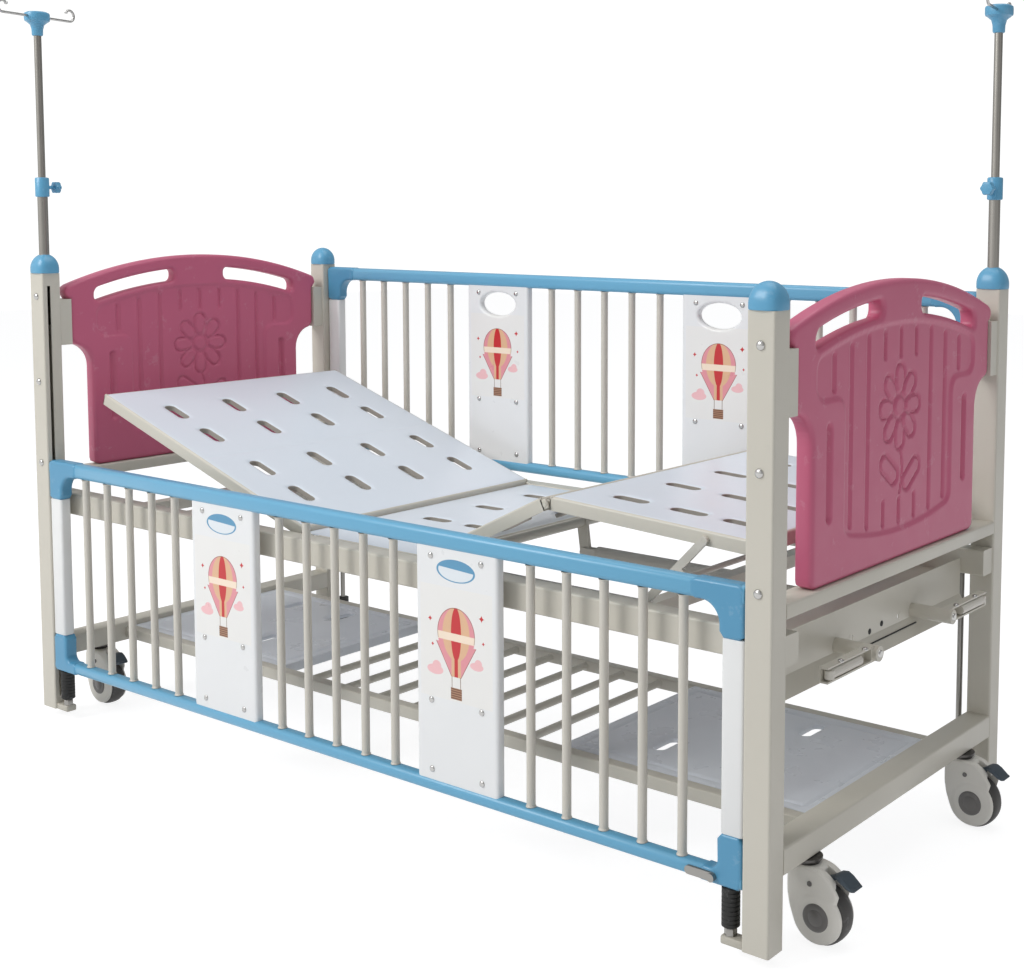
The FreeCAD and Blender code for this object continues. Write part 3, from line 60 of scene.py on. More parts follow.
# %% Camera
wide_px, high_px, focal_px = 1024, 970, 1488.23
axis_px = (667.61, 341.23)  # the point that the lens looks at squarely, from the upper left corner
azimuth, elevation, roll = 0.63013, 0.08710, 0.00518
lens_data = bpy.data.cameras.new("viewpoint")
lens_data.sensor_width = 36.0
lens_data.lens = focal_px / wide_px * 36.0
lens_data.shift_x = (wide_px / 2 - axis_px[0]) / wide_px
lens_data.shift_y = (axis_px[1] - high_px / 2) / wide_px
lens_data.clip_end = 60
camera = bpy.data.objects.new("viewpoint", lens_data)
scene.collection.objects.link(camera)
ahead = np.array([-math.sin(azimuth) * math.cos(elevation),
                  math.cos(azimuth) * math.cos(elevation), -math.sin(elevation)])
level = np.cross(ahead, [0, 0, 1])
level /= np.linalg.norm(level)
right = math.cos(roll) * level + math.sin(roll) * np.cross(level, ahead)
turn = np.eye(4)
turn[:3, 0], turn[:3, 1], turn[:3, 2] = right, np.cross(right, ahead), -ahead
turn[:3, 3] = (2.11836, -2.29401, 1.16854)
camera.matrix_world = Matrix(turn.tolist())
scene.camera = camera

# %% [markdown]
# ## Light
# Soft studio light under a pale sky: a large lamp ahead of the cot on its left, a weaker one
# overhead and a very weak one beyond the foot end, so that faces turned that way stay darker.

# %% Light
scene.view_settings.view_transform = "Standard"


def area_lamp(name, place, size, watts):
    """A square lamp that looks at the middle of the cot."""
    data = bpy.data.lights.new(name, "AREA")
    data.size, data.energy = size, watts
    lamp = bpy.data.objects.new(name, data)
    scene.collection.objects.link(lamp)
    lamp.location = place
    lamp.rotation_mode = "QUATERNION"
    lamp.rotation_quaternion = (Vector((0, 0, 0.5)) - Vector(place)).to_track_quat("-Z", "Y")


area_lamp("key_lamp", (-2.2, -4.6, 4.2), 3.0, 210)
area_lamp("top_lamp", (0.4, 0.6, 4.8), 3.5, 70)
area_lamp("side_lamp", (5.0, -0.5, 2.0), 2.5, 5)

# %% [markdown]
# ## Finishes as expressions
# A finish is a net of shader nodes. Writing it as arithmetic on wires keeps it readable: `Wire`
# wraps a socket and turns +, -, * and / into Math nodes, and `Net.node` makes any other node from
# its type, its settings and its sockets.


# %% Wire, Net and Finish
class Wire:
    """One output of a shader node, with arithmetic."""

    def __init__(self, net, socket):
        self.net, self.socket = net, socket

    def math(self, operation, *others, clamp=False):
        return self.net.node("ShaderNodeMath", {"operation": operation, "use_clamp": clamp},
                             dict(enumerate((self,) + others)))

    def __rsub__(self, other):
        return self.net.node("ShaderNodeMath", {"operation": "SUBTRACT"}, {0: other, 1: self})

    def below(self, edge, soft=0.0004):
        """1 where the value is under the edge, 0 above it, with a soft step between."""
        return ((edge - self) / soft + 0.5).math("MULTIPLY", 1.0, clamp=True)


for method, operation in {
        "__add__": "ADD", "__radd__": "ADD", "__mul__": "MULTIPLY", "__rmul__": "MULTIPLY",
        "__sub__": "SUBTRACT", "__truediv__": "DIVIDE", "__pow__": "POWER", "low": "MINIMUM",
        "high": "MAXIMUM", "size": "ABSOLUTE", "root": "SQRT"}.items():
    setattr(Wire, method, partialmethod(Wire.math, operation))


class Net:
    """The nodes of a material or of the world, made one by one."""

    def __init__(self, owner):
        owner.use_nodes = True
        self.tree = owner.node_tree
        self.tree.nodes.clear()

    def node(self, kind, settings, sockets, out=0):
        made = self.tree.nodes.new(kind)
        for key, value in settings.items():
            setattr(made, key, value)
        for key, value in sockets.items():
            if isinstance(value, Wire):
                self.tree.links.new(value.socket, made.inputs[key])
            else:
                made.inputs[key].default_value = value
        return Wire(self, made.outputs[out])

    def ray(self, kind):
        """1 for rays of one kind, 0 for all others."""
        return self.node("ShaderNodeLightPath", {}, {}, "Is %s Ray" % kind)

    def seen(self):
        """1 for what the camera sees, straight, in a mirror or through glass."""
        return self.ray("Camera") + self.ray("Glossy") + self.ray("Transmission")

    def close(self, kind, shader):
        self.tree.links.new(shader.socket, self.tree.nodes.new(kind).inputs["Surface"])


class Finish(Net):
    """One material."""

    def __init__(self, name):
        self.material = bpy.data.materials.new(name)
        super().__init__(self.material)
        self.place = self.node("ShaderNodeTexCoord", {}, {}, "Object")

    def axes(self):
        """The three object coordinates in metres, as wires."""
        split = self.tree.nodes.new("ShaderNodeSeparateXYZ")
        self.tree.links.new(self.place.socket, split.inputs[0])
        return [Wire(self, out) for out in split.outputs]

    def noise(self, scale, detail=2.0, rough=0.5, stretch=None):
        """Noise with about `scale` bumps to the metre, drawn out where `stretch` is below 1."""
        where = self.place
        if stretch:
            where = self.node("ShaderNodeMapping", {}, {"Vector": self.place, "Scale": stretch})
        return self.node("ShaderNodeTexNoise", {}, {"Vector": where, "Scale": scale,
                                                     "Detail": detail, "Roughness": rough})

    def blend(self, share, first, second):
        """A colour between two colours."""
        return self.node("ShaderNodeMix", {"data_type": "RGBA"},
                         {0: share, 6: first, 7: second}, 2)

    def bump(self, height, strength, distance):
        return self.node("ShaderNodeBump", {}, {"Height": height, "Strength": strength,
                                                 "Distance": distance})

    def surface(self, colour, rough, normal, metal=0.0, **plain):
        sockets = {"Base Color": colour, "Roughness": rough, "Metallic": metal, "Normal": normal}
        sockets.update({key.replace("_", " "): value for key, value in plain.items()})
        self.close("ShaderNodeOutputMaterial",
                   self.node("ShaderNodeBsdfPrincipled", {}, sockets))
        return self.material


def tint(red, green, blue):
    """A colour as the eye names it, 0 to 255, turned into linear light."""
    def linear(value):
        value /= 255
        return value / 12.92 if value <= 0.04045 else ((value + 0.055) / 1.055) ** 2.4
    return (linear(red), linear(green), linear(blue), 1.0)


def darker(colour, share):
    return tuple(c * share for c in colour[:3]) + (1.0,)


# %% [markdown]
# ## Powder coat
# The steel is powder coated, and so are the rails' blue tubes. Baked powder has a faint orange
# peel, a tone that drifts a little over a long tube, and small rubbed spots that are smoother.


# %% Powder coat
def powder(name, colour, rough=0.42, drift=0.06, peel=0.12):
    """Powder coat: colour drifts by `drift`, orange peel at 2 mm, rubbed spots at 60 mm."""
    f = Finish(name)
    broad = f.noise(3.5, 3.0)
    fine = f.noise(45.0, 4.0, 0.6)
    tone = f.blend(broad, darker(colour, 1 - drift), darker(colour, 1 + drift * 0.6))
    grime = (fine - 0.62).high(0.0) * 0.9
    tone = f.blend(grime.low(0.5), tone, darker(colour, 0.8))
    shine = rough + (f.noise(16.0, 3.0) - 0.5) * 0.22
    skin_height = f.noise(520.0, 1.0) + f.noise(90.0, 2.0) * 0.5
    return f.surface(tone, shine, f.bump(skin_height, peel, 0.0008), Coat_Weight=0.12,
                     Coat_Roughness=0.25)


beige = powder("beige_powder_coat", tint(204, 199, 186))
bar_beige = powder("bar_powder_coat", tint(206, 201, 190), rough=0.36)
deck_grey = powder("deck_powder_coat", tint(219, 226, 234), rough=0.34, drift=0.04, peel=0.06)
tray_grey = powder("tray_powder_coat", tint(220, 224, 230), rough=0.3, drift=0.06, peel=0.06)
# The slot collars get a darker grey than the deck sheet they are drawn from: painted shade inside the
# slots.
collar_painted_shade = powder("painted_shade_collar_coat", tint(158, 152, 143), rough=0.5)
# A darker copy of the beige powder coat for the low guide feet: painted shade.
shaded_beige = powder("painted_shade_beige_coat", tint(190, 185, 172), rough=0.5)
rail_blue = powder("rail_blue_powder_coat", tint(101, 168, 202), rough=0.34, drift=0.03, peel=0.06)
print("powder coats made")


# %% [markdown]
# ## Moulded plastics
# Moulded parts have an even tone with a very fine spark-eroded grain from the mould, and a soft
# sheen. The caps, collars and knobs are sky blue, the rails' corner brackets a darker blue, the
# boards pink.


# %% Moulded plastics
def moulded(name, colour, rough=0.38, grain=700.0, depth=0.10, drift=0.035, coat=0.0):
    """Moulded plastic: colour with a slow drift, a fine grain, and a few pale rub marks."""
    f = Finish(name)
    broad = f.noise(5.0, 2.0)
    tone = f.blend(broad, darker(colour, 1 - drift), darker(colour, 1 + drift))
    rubbed = (f.noise(24.0, 6.0, 0.7) - 0.6).high(0.0) * 1.2
    tone = f.blend(rubbed.low(0.06), tone, (0.9, 0.9, 0.9, 1.0))
    shine = rough + (f.noise(30.0, 3.0) - 0.5) * 0.16
    return f.surface(tone, shine, f.bump(f.noise(grain, 2.0), depth, 0.0003),
                     Coat_Weight=coat, Coat_Roughness=0.2)


sky_blue = moulded("sky_blue_moulding", tint(92, 161, 197), rough=0.36, coat=0.15)
corner_blue = moulded("corner_blue_moulding", tint(80, 148, 184), rough=0.36, coat=0.15)
pink = moulded("pink_moulding", tint(195, 95, 125), rough=0.4)
white_board = moulded("white_panel", tint(232, 232, 230), rough=0.34, drift=0.02)
nylon = moulded("warm_grey_nylon", tint(230, 226, 217), rough=0.42)
tyre_grey = moulded("dark_tyre", tint(74, 72, 70), rough=0.6, grain=300.0, depth=0.25)
hub_grey = moulded("hub_grey", tint(104, 101, 98), rough=0.38)
pedal_grey = moulded("pedal_blue_grey", tint(58, 70, 80), rough=0.5, grain=420.0, depth=0.3)
black_rubber = moulded("black_rubber", tint(20, 20, 19), rough=0.62, grain=500.0, depth=0.2)
print("plastics made")


# %% [markdown]
# ## Bright metal
# Hooks and screws are chromed, the poles have a satin plate, and rods, latches and lead screws are
# zinc plated. A brushed streak along one axis and a few smears keep the reflections from being a
# perfect mirror.


# %% Bright metal
def bright(name, colour, rough, streak=(1.0, 1.0, 0.04)):
    """Plated steel: metallic, with streaks drawn out along one axis in roughness and bump."""
    f = Finish(name)
    line = f.noise(420.0, 1.0, 0.5, stretch=streak)
    smear = f.noise(14.0, 3.0)
    tone = f.blend(smear, darker(colour, 0.9), colour)
    return f.surface(tone, rough + (line - 0.5) * 0.07 + (smear - 0.5) * 0.10,
                     f.bump(line, 0.02, 0.0001), metal=1.0)


chrome = bright("chrome_plate", tint(190, 189, 187), rough=0.15)
pole_steel = bright("satin_pole", tint(158, 155, 149), rough=0.30)
zinc = bright("zinc_plate", tint(158, 156, 152), rough=0.42, streak=(0.05, 1.0, 1.0))
dark_steel = bright("dark_bearing", tint(92, 90, 88), rough=0.4)
print("metals made")

# %% [markdown]
# ## Meshes from formulas
# Each surface is a function of two parameters on a grid, or a section carried along a path. The
# helpers below turn whole arrays of points into a mesh, close its seams and poles and point its
# faces outwards.


# %% Mesh helpers
def grid_faces(rows, columns, close_rows=False, close_columns=False):
    """The four corner numbers of every cell of a grid of points, as one array."""
    r = np.arange(rows if close_rows else rows - 1)
    c = np.arange(columns if close_columns else columns - 1)
    r, c = np.meshgrid(r, c, indexing="ij")
    r2, c2 = (r + 1) % rows, (c + 1) % columns
    return np.stack([r * columns + c, r * columns + c2, r2 * columns + c2, r2 * columns + c],
                    -1).reshape(-1, 4)


def skin(rings):
    """A closed skin over rings of equally many points, with a flat face over both ends."""
    n, points = len(rings[0]), np.concatenate(rings)
    first, last = list(range(n))[::-1], list(range(len(points) - n, len(points)))
    return points, grid_faces(len(rings), n, close_columns=True).tolist() + [first, last]


def piece(name, parts, finish, body, nodes):
    """Join (points, faces) pairs into one mesh, merge its seams, turn it outwards, let it ride."""
    points, faces, start = [], [], 0
    for p, f in parts:
        points.append(np.asarray(p, float).reshape(-1, 3))
        faces += [[int(i) + start for i in corners] for corners in f]
        start += len(points[-1])
    mesh = bpy.data.meshes.new(name)
    mesh.from_pydata(np.concatenate(points).tolist(), [], faces)
    shape = bmesh.new()
    shape.from_mesh(mesh)
    bmesh.ops.remove_doubles(shape, verts=shape.verts, dist=2e-6)
    bmesh.ops.dissolve_degenerate(shape, edges=shape.edges, dist=1e-7)
    bmesh.ops.recalc_face_normals(shape, faces=shape.faces)
    shape.to_mesh(mesh)
    shape.free()
    mesh.polygons.foreach_set("use_smooth", np.ones(len(mesh.polygons), bool))
    mesh.set_sharp_from_angle(angle=math.radians(38))
    mesh.materials.append(finish)
    made = bpy.data.objects.new(name, mesh)
    scene.collection.objects.link(made)
    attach(made, body)
    if nodes:
        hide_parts(*nodes)
    print(name, len(mesh.polygons), "faces")


def rounded(wide, deep, radius, steps=5):
    """A rounded rectangle: four quarter circles joined by straight sides."""
    a = np.linspace(0, math.pi / 2, steps + 1)
    corners = []
    for k, (sx, sy) in enumerate(((1, 1), (-1, 1), (-1, -1), (1, -1))):
        t = a + k * math.pi / 2
        corners.append(np.stack([sx * (wide / 2 - radius) + radius * np.cos(t),
                                 sy * (deep / 2 - radius) + radius * np.sin(t)], -1))
    return np.concatenate(corners)


def bar(section, start, end, side=(0, 0, 1), ease=0.0015):
    """A straight bar: the section is carried from start to end, drawn in by `ease` at its ends."""
    start, end, side = (np.asarray(v, float) for v in (start, end, side))
    along = (end - start) / np.linalg.norm(end - start)
    u = np.cross(side, along)
    u /= np.linalg.norm(u)
    v = np.cross(along, u)
    reach = np.abs(section).max(0)
    rings = []
    for where, inset in ((start, ease), (start + along * ease * 0.35, ease * 0.35),
                         (start + along * ease, 0), (end - along * ease, 0),
                         (end - along * ease * 0.35, ease * 0.35), (end, ease)):
        s = section * (1 - inset / reach)
        rings.append(where + s[:, :1] * u + s[:, 1:] * v)
    return skin(rings)


def tube(path, radius, count):
    """A round wire along a path: rings at right angles to it, their frame carried along."""
    path = np.asarray(path, float)
    run = np.gradient(path, axis=0)
    run /= np.linalg.norm(run, axis=1)[:, None]
    u = np.cross(run[0], [0.3, 0.5, 0.81])
    a = np.linspace(0, 2 * math.pi, count, endpoint=False)
    rings = []
    for p, t in zip(path, run):
        u = u - t * (u @ t)
        u /= np.linalg.norm(u)
        rings.append(p + radius * (np.cos(a)[:, None] * u + np.sin(a)[:, None] * np.cross(t, u)))
    return skin(rings)


def turned(profile, centre, along=(0, 0, 1), count=40):
    """A turned shape: (radius, height) pairs spun about an axis; radius 0 closes a pole."""
    profile = np.asarray(profile, float)
    along = np.asarray(along, float)
    u = np.cross(along, [0.36, 0.48, 0.8])
    u /= np.linalg.norm(u)
    v = np.cross(along, u)
    a = np.linspace(0, 2 * math.pi, count, endpoint=False)
    ring = np.cos(a)[:, None] * u + np.sin(a)[:, None] * v
    points = (np.asarray(centre, float) + profile[:, None, :1] * ring[None]
              + profile[:, None, 1:] * along)
    return points.reshape(-1, 3), grid_faces(len(profile), count, close_columns=True)


def stub(radius, low, high):
    """The profile of a plain round rod."""
    return [(0, low), (radius, low), (radius, high), (0, high)]


def mirrored(half):
    """A profile that runs on to its own mirror image, at the opposite height."""
    half = np.array(half)
    return np.concatenate([half, half[::-1] * [1, -1]])


def closed(profile):
    """A profile that returns to its first point, for a hollow ring."""
    return np.concatenate([profile, profile[:1]])


def dome_screw(centre, along, radius, high=0.0032):
    """A dome head: a sphere's cap over a short rim."""
    a = np.linspace(0, math.pi / 2, 6)
    profile = np.stack([radius * np.cos(a), 0.0006 + (high - 0.0006) * np.sin(a)], -1)
    return turned(np.concatenate([[[radius, -0.0005]], profile]), centre, along, 16)


def inside(points, loop):
    """Signed distance to a closed outline, negative inside: nearest segment, and crossings."""
    a, b = loop, np.roll(loop, -1, 0)
    d = b - a
    best, crossings = np.empty(len(points)), np.empty(len(points))
    batch = 20000
    for first in range(0, len(points), batch):
        p = points[first:first + batch, None, :]
        t = np.clip(((p - a) * d).sum(-1) / np.maximum((d * d).sum(-1), 1e-18), 0, 1)
        near = p - (a + t[..., None] * d)
        best[first:first + batch] = np.sqrt((near ** 2).sum(-1)).min(1)
        up = (a[:, 1] <= p[..., 1]) & (b[:, 1] > p[..., 1])
        down = (b[:, 1] <= p[..., 1]) & (a[:, 1] > p[..., 1])
        side = d[:, 0] * (p[..., 1] - a[:, 1]) - d[:, 1] * (p[..., 0] - a[:, 0])
        crossings[first:first + batch] = (up & (side > 0)).sum(1) - (down & (side < 0)).sum(1)
    return np.where(crossings != 0, -best, best)


def obround(points, centre, long, broad, angle=0.0):
    """Signed distance to a slot with round ends."""
    c, s = math.cos(angle), math.sin(angle)
    q = points - np.asarray(centre)
    x = np.abs(q[:, 0] * c + q[:, 1] * s)
    y = q[:, 1] * c - q[:, 0] * s
    return np.hypot(np.maximum(x - (long - broad) / 2, 0), y) - broad / 2


def smooth(value, low, high):
    """0 below low, 1 above high, an S-curve between."""
    t = np.clip((value - low) / (high - low), 0, 1)
    return t * t * (3 - 2 * t)


def soft_least(first, second, width):
    """The lesser of two distances, with their corner rounded off."""
    share = np.clip(0.5 + 0.5 * (second - first) / width, 0, 1)
    return second + (first - second) * share - width * share * (1 - share)


def onto(shape, points, level, h):
    """Points moved along the slope of `shape` until it reads `level` there: Newton's rule."""
    for _ in range(4):
        slope = np.stack([shape(points + [h, 0]) - shape(points - [h, 0]),
                          shape(points + [0, h]) - shape(points - [0, h])], -1) / (2 * h)
        slope /= np.maximum((slope ** 2).sum(-1, keepdims=True), 0.25)
        points = points - (shape(points) - level)[:, None] * slope
    return points


def plate(shape, low, high, pitch, thick, edge, place, front=None, back=None, back_edge=None):
    """A moulded plate. A grid in its plane is kept where `shape`, a distance to the outline, is
    deeper than the edge radius. Rings at even steps of a quarter circle lead from there to the
    outline, so the edge is round: depth edge * (1 - sin t) lies edge * (1 - cos t) under the face.
    `front` and `back` sink each face, and `place` puts (a, b, height) in space."""
    na, nb = (max(2, int(round((high[i] - low[i]) / pitch)) + 3) for i in (0, 1))
    a = np.linspace(low[0] - pitch, high[0] + pitch, na)
    b = np.linspace(low[1] - pitch, high[1] + pitch, nb)
    flat = np.stack(np.meshgrid(a, b, indexing="ij"), -1).reshape(-1, 2)
    cells = grid_faces(na, nb)
    cells = cells[(shape(flat)[cells] < -edge - pitch * 0.1).all(1)]
    used = np.unique(cells)
    number = np.full(len(flat), -1)
    number[used] = np.arange(len(used))
    cells, flat = number[cells], flat[used]
    n = len(flat)
    borders = np.concatenate([cells[:, [i, (i + 1) % 4]] for i in range(4)])
    wall = borders[~np.isin(borders[:, 0] * n + borders[:, 1], borders[:, 1] * n + borders[:, 0])]
    rim_points = np.unique(wall)
    ring_of = np.full(n, -1)
    ring_of[rim_points] = np.arange(len(rim_points))
    h = pitch * 0.05
    flat[rim_points] = onto(shape, flat[rim_points], -edge, h)
    rings, faces, first = [flat], [cells], wall
    depths = [np.maximum(-shape(flat), edge)]
    steps = 5 if edge > 0.002 else 2
    for k in range(1, steps + 1):
        deep = edge * (1 - math.sin(k / steps * math.pi / 2))
        rings.append(onto(shape, rings[-1][rim_points] if k == 1 else rings[-1], -deep, h))
        depths.append(np.full(len(rim_points), deep))
        second = ring_of[wall] + n + (k - 1) * len(rim_points)
        faces.append(np.column_stack([first[:, 1], first[:, 0], second[:, 0], second[:, 1]]))
        first = second
    q, faces, depths = np.concatenate(rings), np.concatenate(faces), np.concatenate(depths)

    def drop(radius):
        """How far a round edge lies under the face."""
        return radius - np.sqrt(np.maximum(radius ** 2 - np.maximum(radius - depths, 0) ** 2, 0))
    top = thick / 2 - drop(edge) - (front(q) if front else 0)
    bottom = -thick / 2 + drop(edge if back_edge is None else back_edge) + (back(q) if back else 0)
    n = len(q)
    faces = np.concatenate([faces, faces[:, ::-1] + n,
                            np.column_stack([first, first[:, ::-1] + n])[:, [1, 0, 3, 2]]])
    return np.concatenate([place(*q.T, height) for height in (top, bottom)]), faces


def spot(node):
    """Centre and half size of a solid's box."""
    low, high = (np.array(v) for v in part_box(node))
    return (low + high) / 2, (high - low) / 2


mid_x = (spot("post_head_front")[0][0] + spot("post_foot_front")[0][0]) / 2
post_x, post_y, rail_y = 0.966, 0.405, 0.412  # from the middle of the cot to posts and rails
print("middle of the cot at x =", round(mid_x, 4))

# %% [markdown]
# ## End boards
# Each board is one blow-moulded plate 34 mm thick with a crowned top, two hand slots that follow
# the crown, a sunk field with upright grooves, and a flower pressed into the middle. A distance to
# each outline is known everywhere, so the same formula gives the edge, the round of the edge and
# the depth of each groove.

# %% End boards
crown_z, crown_r = 1.056, 1.0478
axis_z = crown_z - crown_r


def board_outline():
    """Half of the outline from the foot of the board to the crown, then its mirror image."""
    a = np.linspace(0, math.pi / 2, 9)
    bend = np.stack([0.354 - 0.054 * np.cos(a), 0.804 + 0.054 * np.sin(a)], -1)
    t = np.linspace(math.asin(0.358 / crown_r), 0, 30)
    crown = np.stack([crown_r * np.sin(t), axis_z + crown_r * np.cos(t)], -1)
    half = np.concatenate([[[0.288, 0.571], [0.296, 0.574], [0.300, 0.582]], bend,
                           [[0.354, 0.961], [0.363, 0.964], [0.366, 0.972], [0.365, 0.985]],
                           crown])
    return np.concatenate([half, half[:-1][::-1] * [-1, 1]])


def hand_slot(q):
    """Distance to a round-ended window between two arcs under the crown, on both sides."""
    corner = 0.013
    reach = np.abs(np.abs(q[:, 0]) - 0.181) - (0.109 - corner)
    height = np.abs(np.hypot(q[:, 0], q[:, 1] - axis_z) - (crown_r - 0.045)) - (0.015 - corner)
    return (np.hypot(np.maximum(reach, 0), np.maximum(height, 0))
            + np.minimum(np.maximum(reach, height), 0) - corner)


def sunk_field(q):
    """Distance to the sunk field: a wide top over a narrower body, closed by two arcs."""
    y, z = np.abs(q[:, 0]), q[:, 1]
    top = np.hypot(y, z - axis_z) - (crown_r - 0.072)
    low = np.hypot(y, z - 1.4838) - 0.8638
    wide = -soft_least(0.290 - y, z - 0.868, 0.03)
    return -soft_least(-soft_least(wide, y - 0.198, 0.03),
                       soft_least(-top, -low, 0.02), 0.02)


def pressed_flower(q):
    """Distance to the lines of a flower: a ring, eight petals, a bowed stem and two leaves."""
    y, z = q[:, 0], q[:, 1]
    petal_r, flower_z = 0.048, 0.836
    lines = np.abs(np.hypot(y, z - flower_z) - 0.019)
    for k in range(8):
        angle = k * math.pi / 4
        centre = (petal_r * math.cos(angle), flower_z + petal_r * math.sin(angle))
        lines = np.minimum(lines, np.abs(obround(q, centre, 0.052, 0.031, angle)))
    bow = 0.010 * np.sin((z - 0.68) / 0.09 * math.pi)
    stem = np.where((z > 0.684) & (z < 0.760), np.abs(y - bow), 1.0)
    for way in (-1, 1):
        leaf = obround(q, (way * 0.041 + 0.004, 0.722 - way * 0.008), 0.070, 0.031, way * 0.62)
        lines = np.minimum(lines, np.abs(leaf))
    return np.minimum(lines, stem)


def board_relief(q):
    """Depth below the face: the field, its grooves, the long side grooves and the flower."""
    y, z = q[:, 0], q[:, 1]
    depth = 0.0042 * smooth(-sunk_field(q), -0.001, 0.006)
    spans = {0: ((0.925, 0.969), (0.636, 0.673)), 1: ((0.925, 0.967), (0.638, 0.675)),
             2: ((0.644, 0.963),), 3: ((0.655, 0.952),), 4: ((0.885, 0.940),)}
    for i, ranges in spans.items():
        for z0, z1 in ranges:
            near = np.hypot(np.abs(y) - i * 0.0573, np.maximum(np.maximum(z0 - z, z - z1), 0))
            depth = depth + 0.0046 * smooth(0.0068 - near, 0, 0.0046)
    side = np.hypot(np.abs(y) - 0.248, np.maximum(np.maximum(0.681 - z, z - 0.826), 0))
    depth = depth + 0.008 * smooth(0.0105 - side, 0, 0.0075)
    return depth + 0.0036 * smooth(0.0046 - pressed_flower(q), 0, 0.0036)


outline_board = board_outline()
for end, sign in ends:
    board_x = spot(end + "board")[0][0]
    piece(end + "board_moulding",
          [plate(lambda q: np.maximum(inside(q, outline_board), -hand_slot(q)),
                 (-0.366, 0.571), (0.366, crown_z), 0.003, 0.034, 0.009,
                 lambda a, b, h: np.stack([board_x + sign * h, a, b], -1),
                 board_relief, board_relief)],
          pink, "frame", [end + "board"])

# %% [markdown]
# ## Side rails
# The rails slide on rods at the posts. Their blue tubes have a soft oblong section, each corner is
# a moulded bracket with a hollow curve, and the slats are plain round tubes. The slats are turned
# shapes, the tubes a section carried along a line, and the brackets plates with a round edge.

# %% Side rails
rail_end, tube_reach = 0.940, 0.9395
lifts = {"front": 0.0, "rear": 0.415}
slat_z, panel_z = 0.140, 0.567  # the foot of the slats and the top of the panels


def corner_outline(level, sign):
    """The bracket's outline in x and z: a leg, a stretch of tube and the hollow between them."""
    t = np.linspace(0, math.pi / 2, 12)
    if level == "top":
        hollow = np.stack([0.858 + 0.035 * np.cos(t), 0.532 + 0.035 * np.sin(t)], -1)
        loop = np.concatenate([[[rail_end, 0.600], [rail_end, 0.512], [0.893, 0.512]], hollow,
                               [[0.836, 0.566], [0.836, 0.600]]])
    else:
        hollow = np.stack([0.878 + 0.015 * np.cos(t), 0.155 - 0.015 * np.sin(t)], -1)
        loop = np.concatenate([[[rail_end, 0.115], [rail_end, 0.201], [0.892, 0.201]], hollow,
                               [[0.856, 0.1412], [0.856, 0.115]]])
    return loop * [sign, 1] + [mid_x, 0]


for side, sign_y in sides:
    y, lift, body = sign_y * rail_y, lifts[side], side + "_rail"
    piece(body + "_blue_tubes",
          [bar(rounded(0.028, high, 0.0095, 6), (mid_x - tube_reach, y, z + lift),
               (mid_x + tube_reach, y, z + lift)) for z, high in ((0.128, 0.024), (0.583, 0.032))],
          rail_blue, body, [body + "_tubes"])
    corners = []
    for level in ("top", "low"):
        for _, sign in ends:
            loop = corner_outline(level, sign)
            corners.append(plate(lambda q: inside(q, loop), loop.min(0), loop.max(0),
                                 0.0035, 0.0295, 0.006, lambda a, b, h: np.stack(
                                     [a, sign_y * (rail_y + h), b + lift], -1)))
    piece(body + "_brackets", corners, corner_blue, body, [])
    slat = [(0.0095, 0.0005), (0.0092, 0.002), (0.008, 0.0035), (0.008, 0.4235),
            (0.0092, 0.425), (0.0095, 0.4265)]
    piece(body + "_slats",
          [turned(slat, (mid_x + group * 0.6565 + i * 0.0804, y, slat_z + lift), count=24)
           for group in (-1, 0, 1) for i in range(-2, 3)],
          bar_beige, body, [body + "_bars"])
    piece(body + "_uprights",
          [bar(rounded(0.042, 0.026, 0.006), (mid_x + sign * 0.919, y, 0.2 + lift),
               (mid_x + sign * 0.919, y, 0.513 + lift), side=(0, 1, 0)) for _, sign in ends],
          white_board, body, [])

# %% [markdown]
# ## White panels with a printed balloon
# Four flat panels are screwed between the tubes. Each has a cream film on its upper part with a
# printed picture in tan, red, pink and brown: a balloon over two clouds, with small stars. The
# front ones also carry a plain oval badge in two tones. The print is arithmetic on the object
# coordinates, so it needs no picture file and stays sharp.


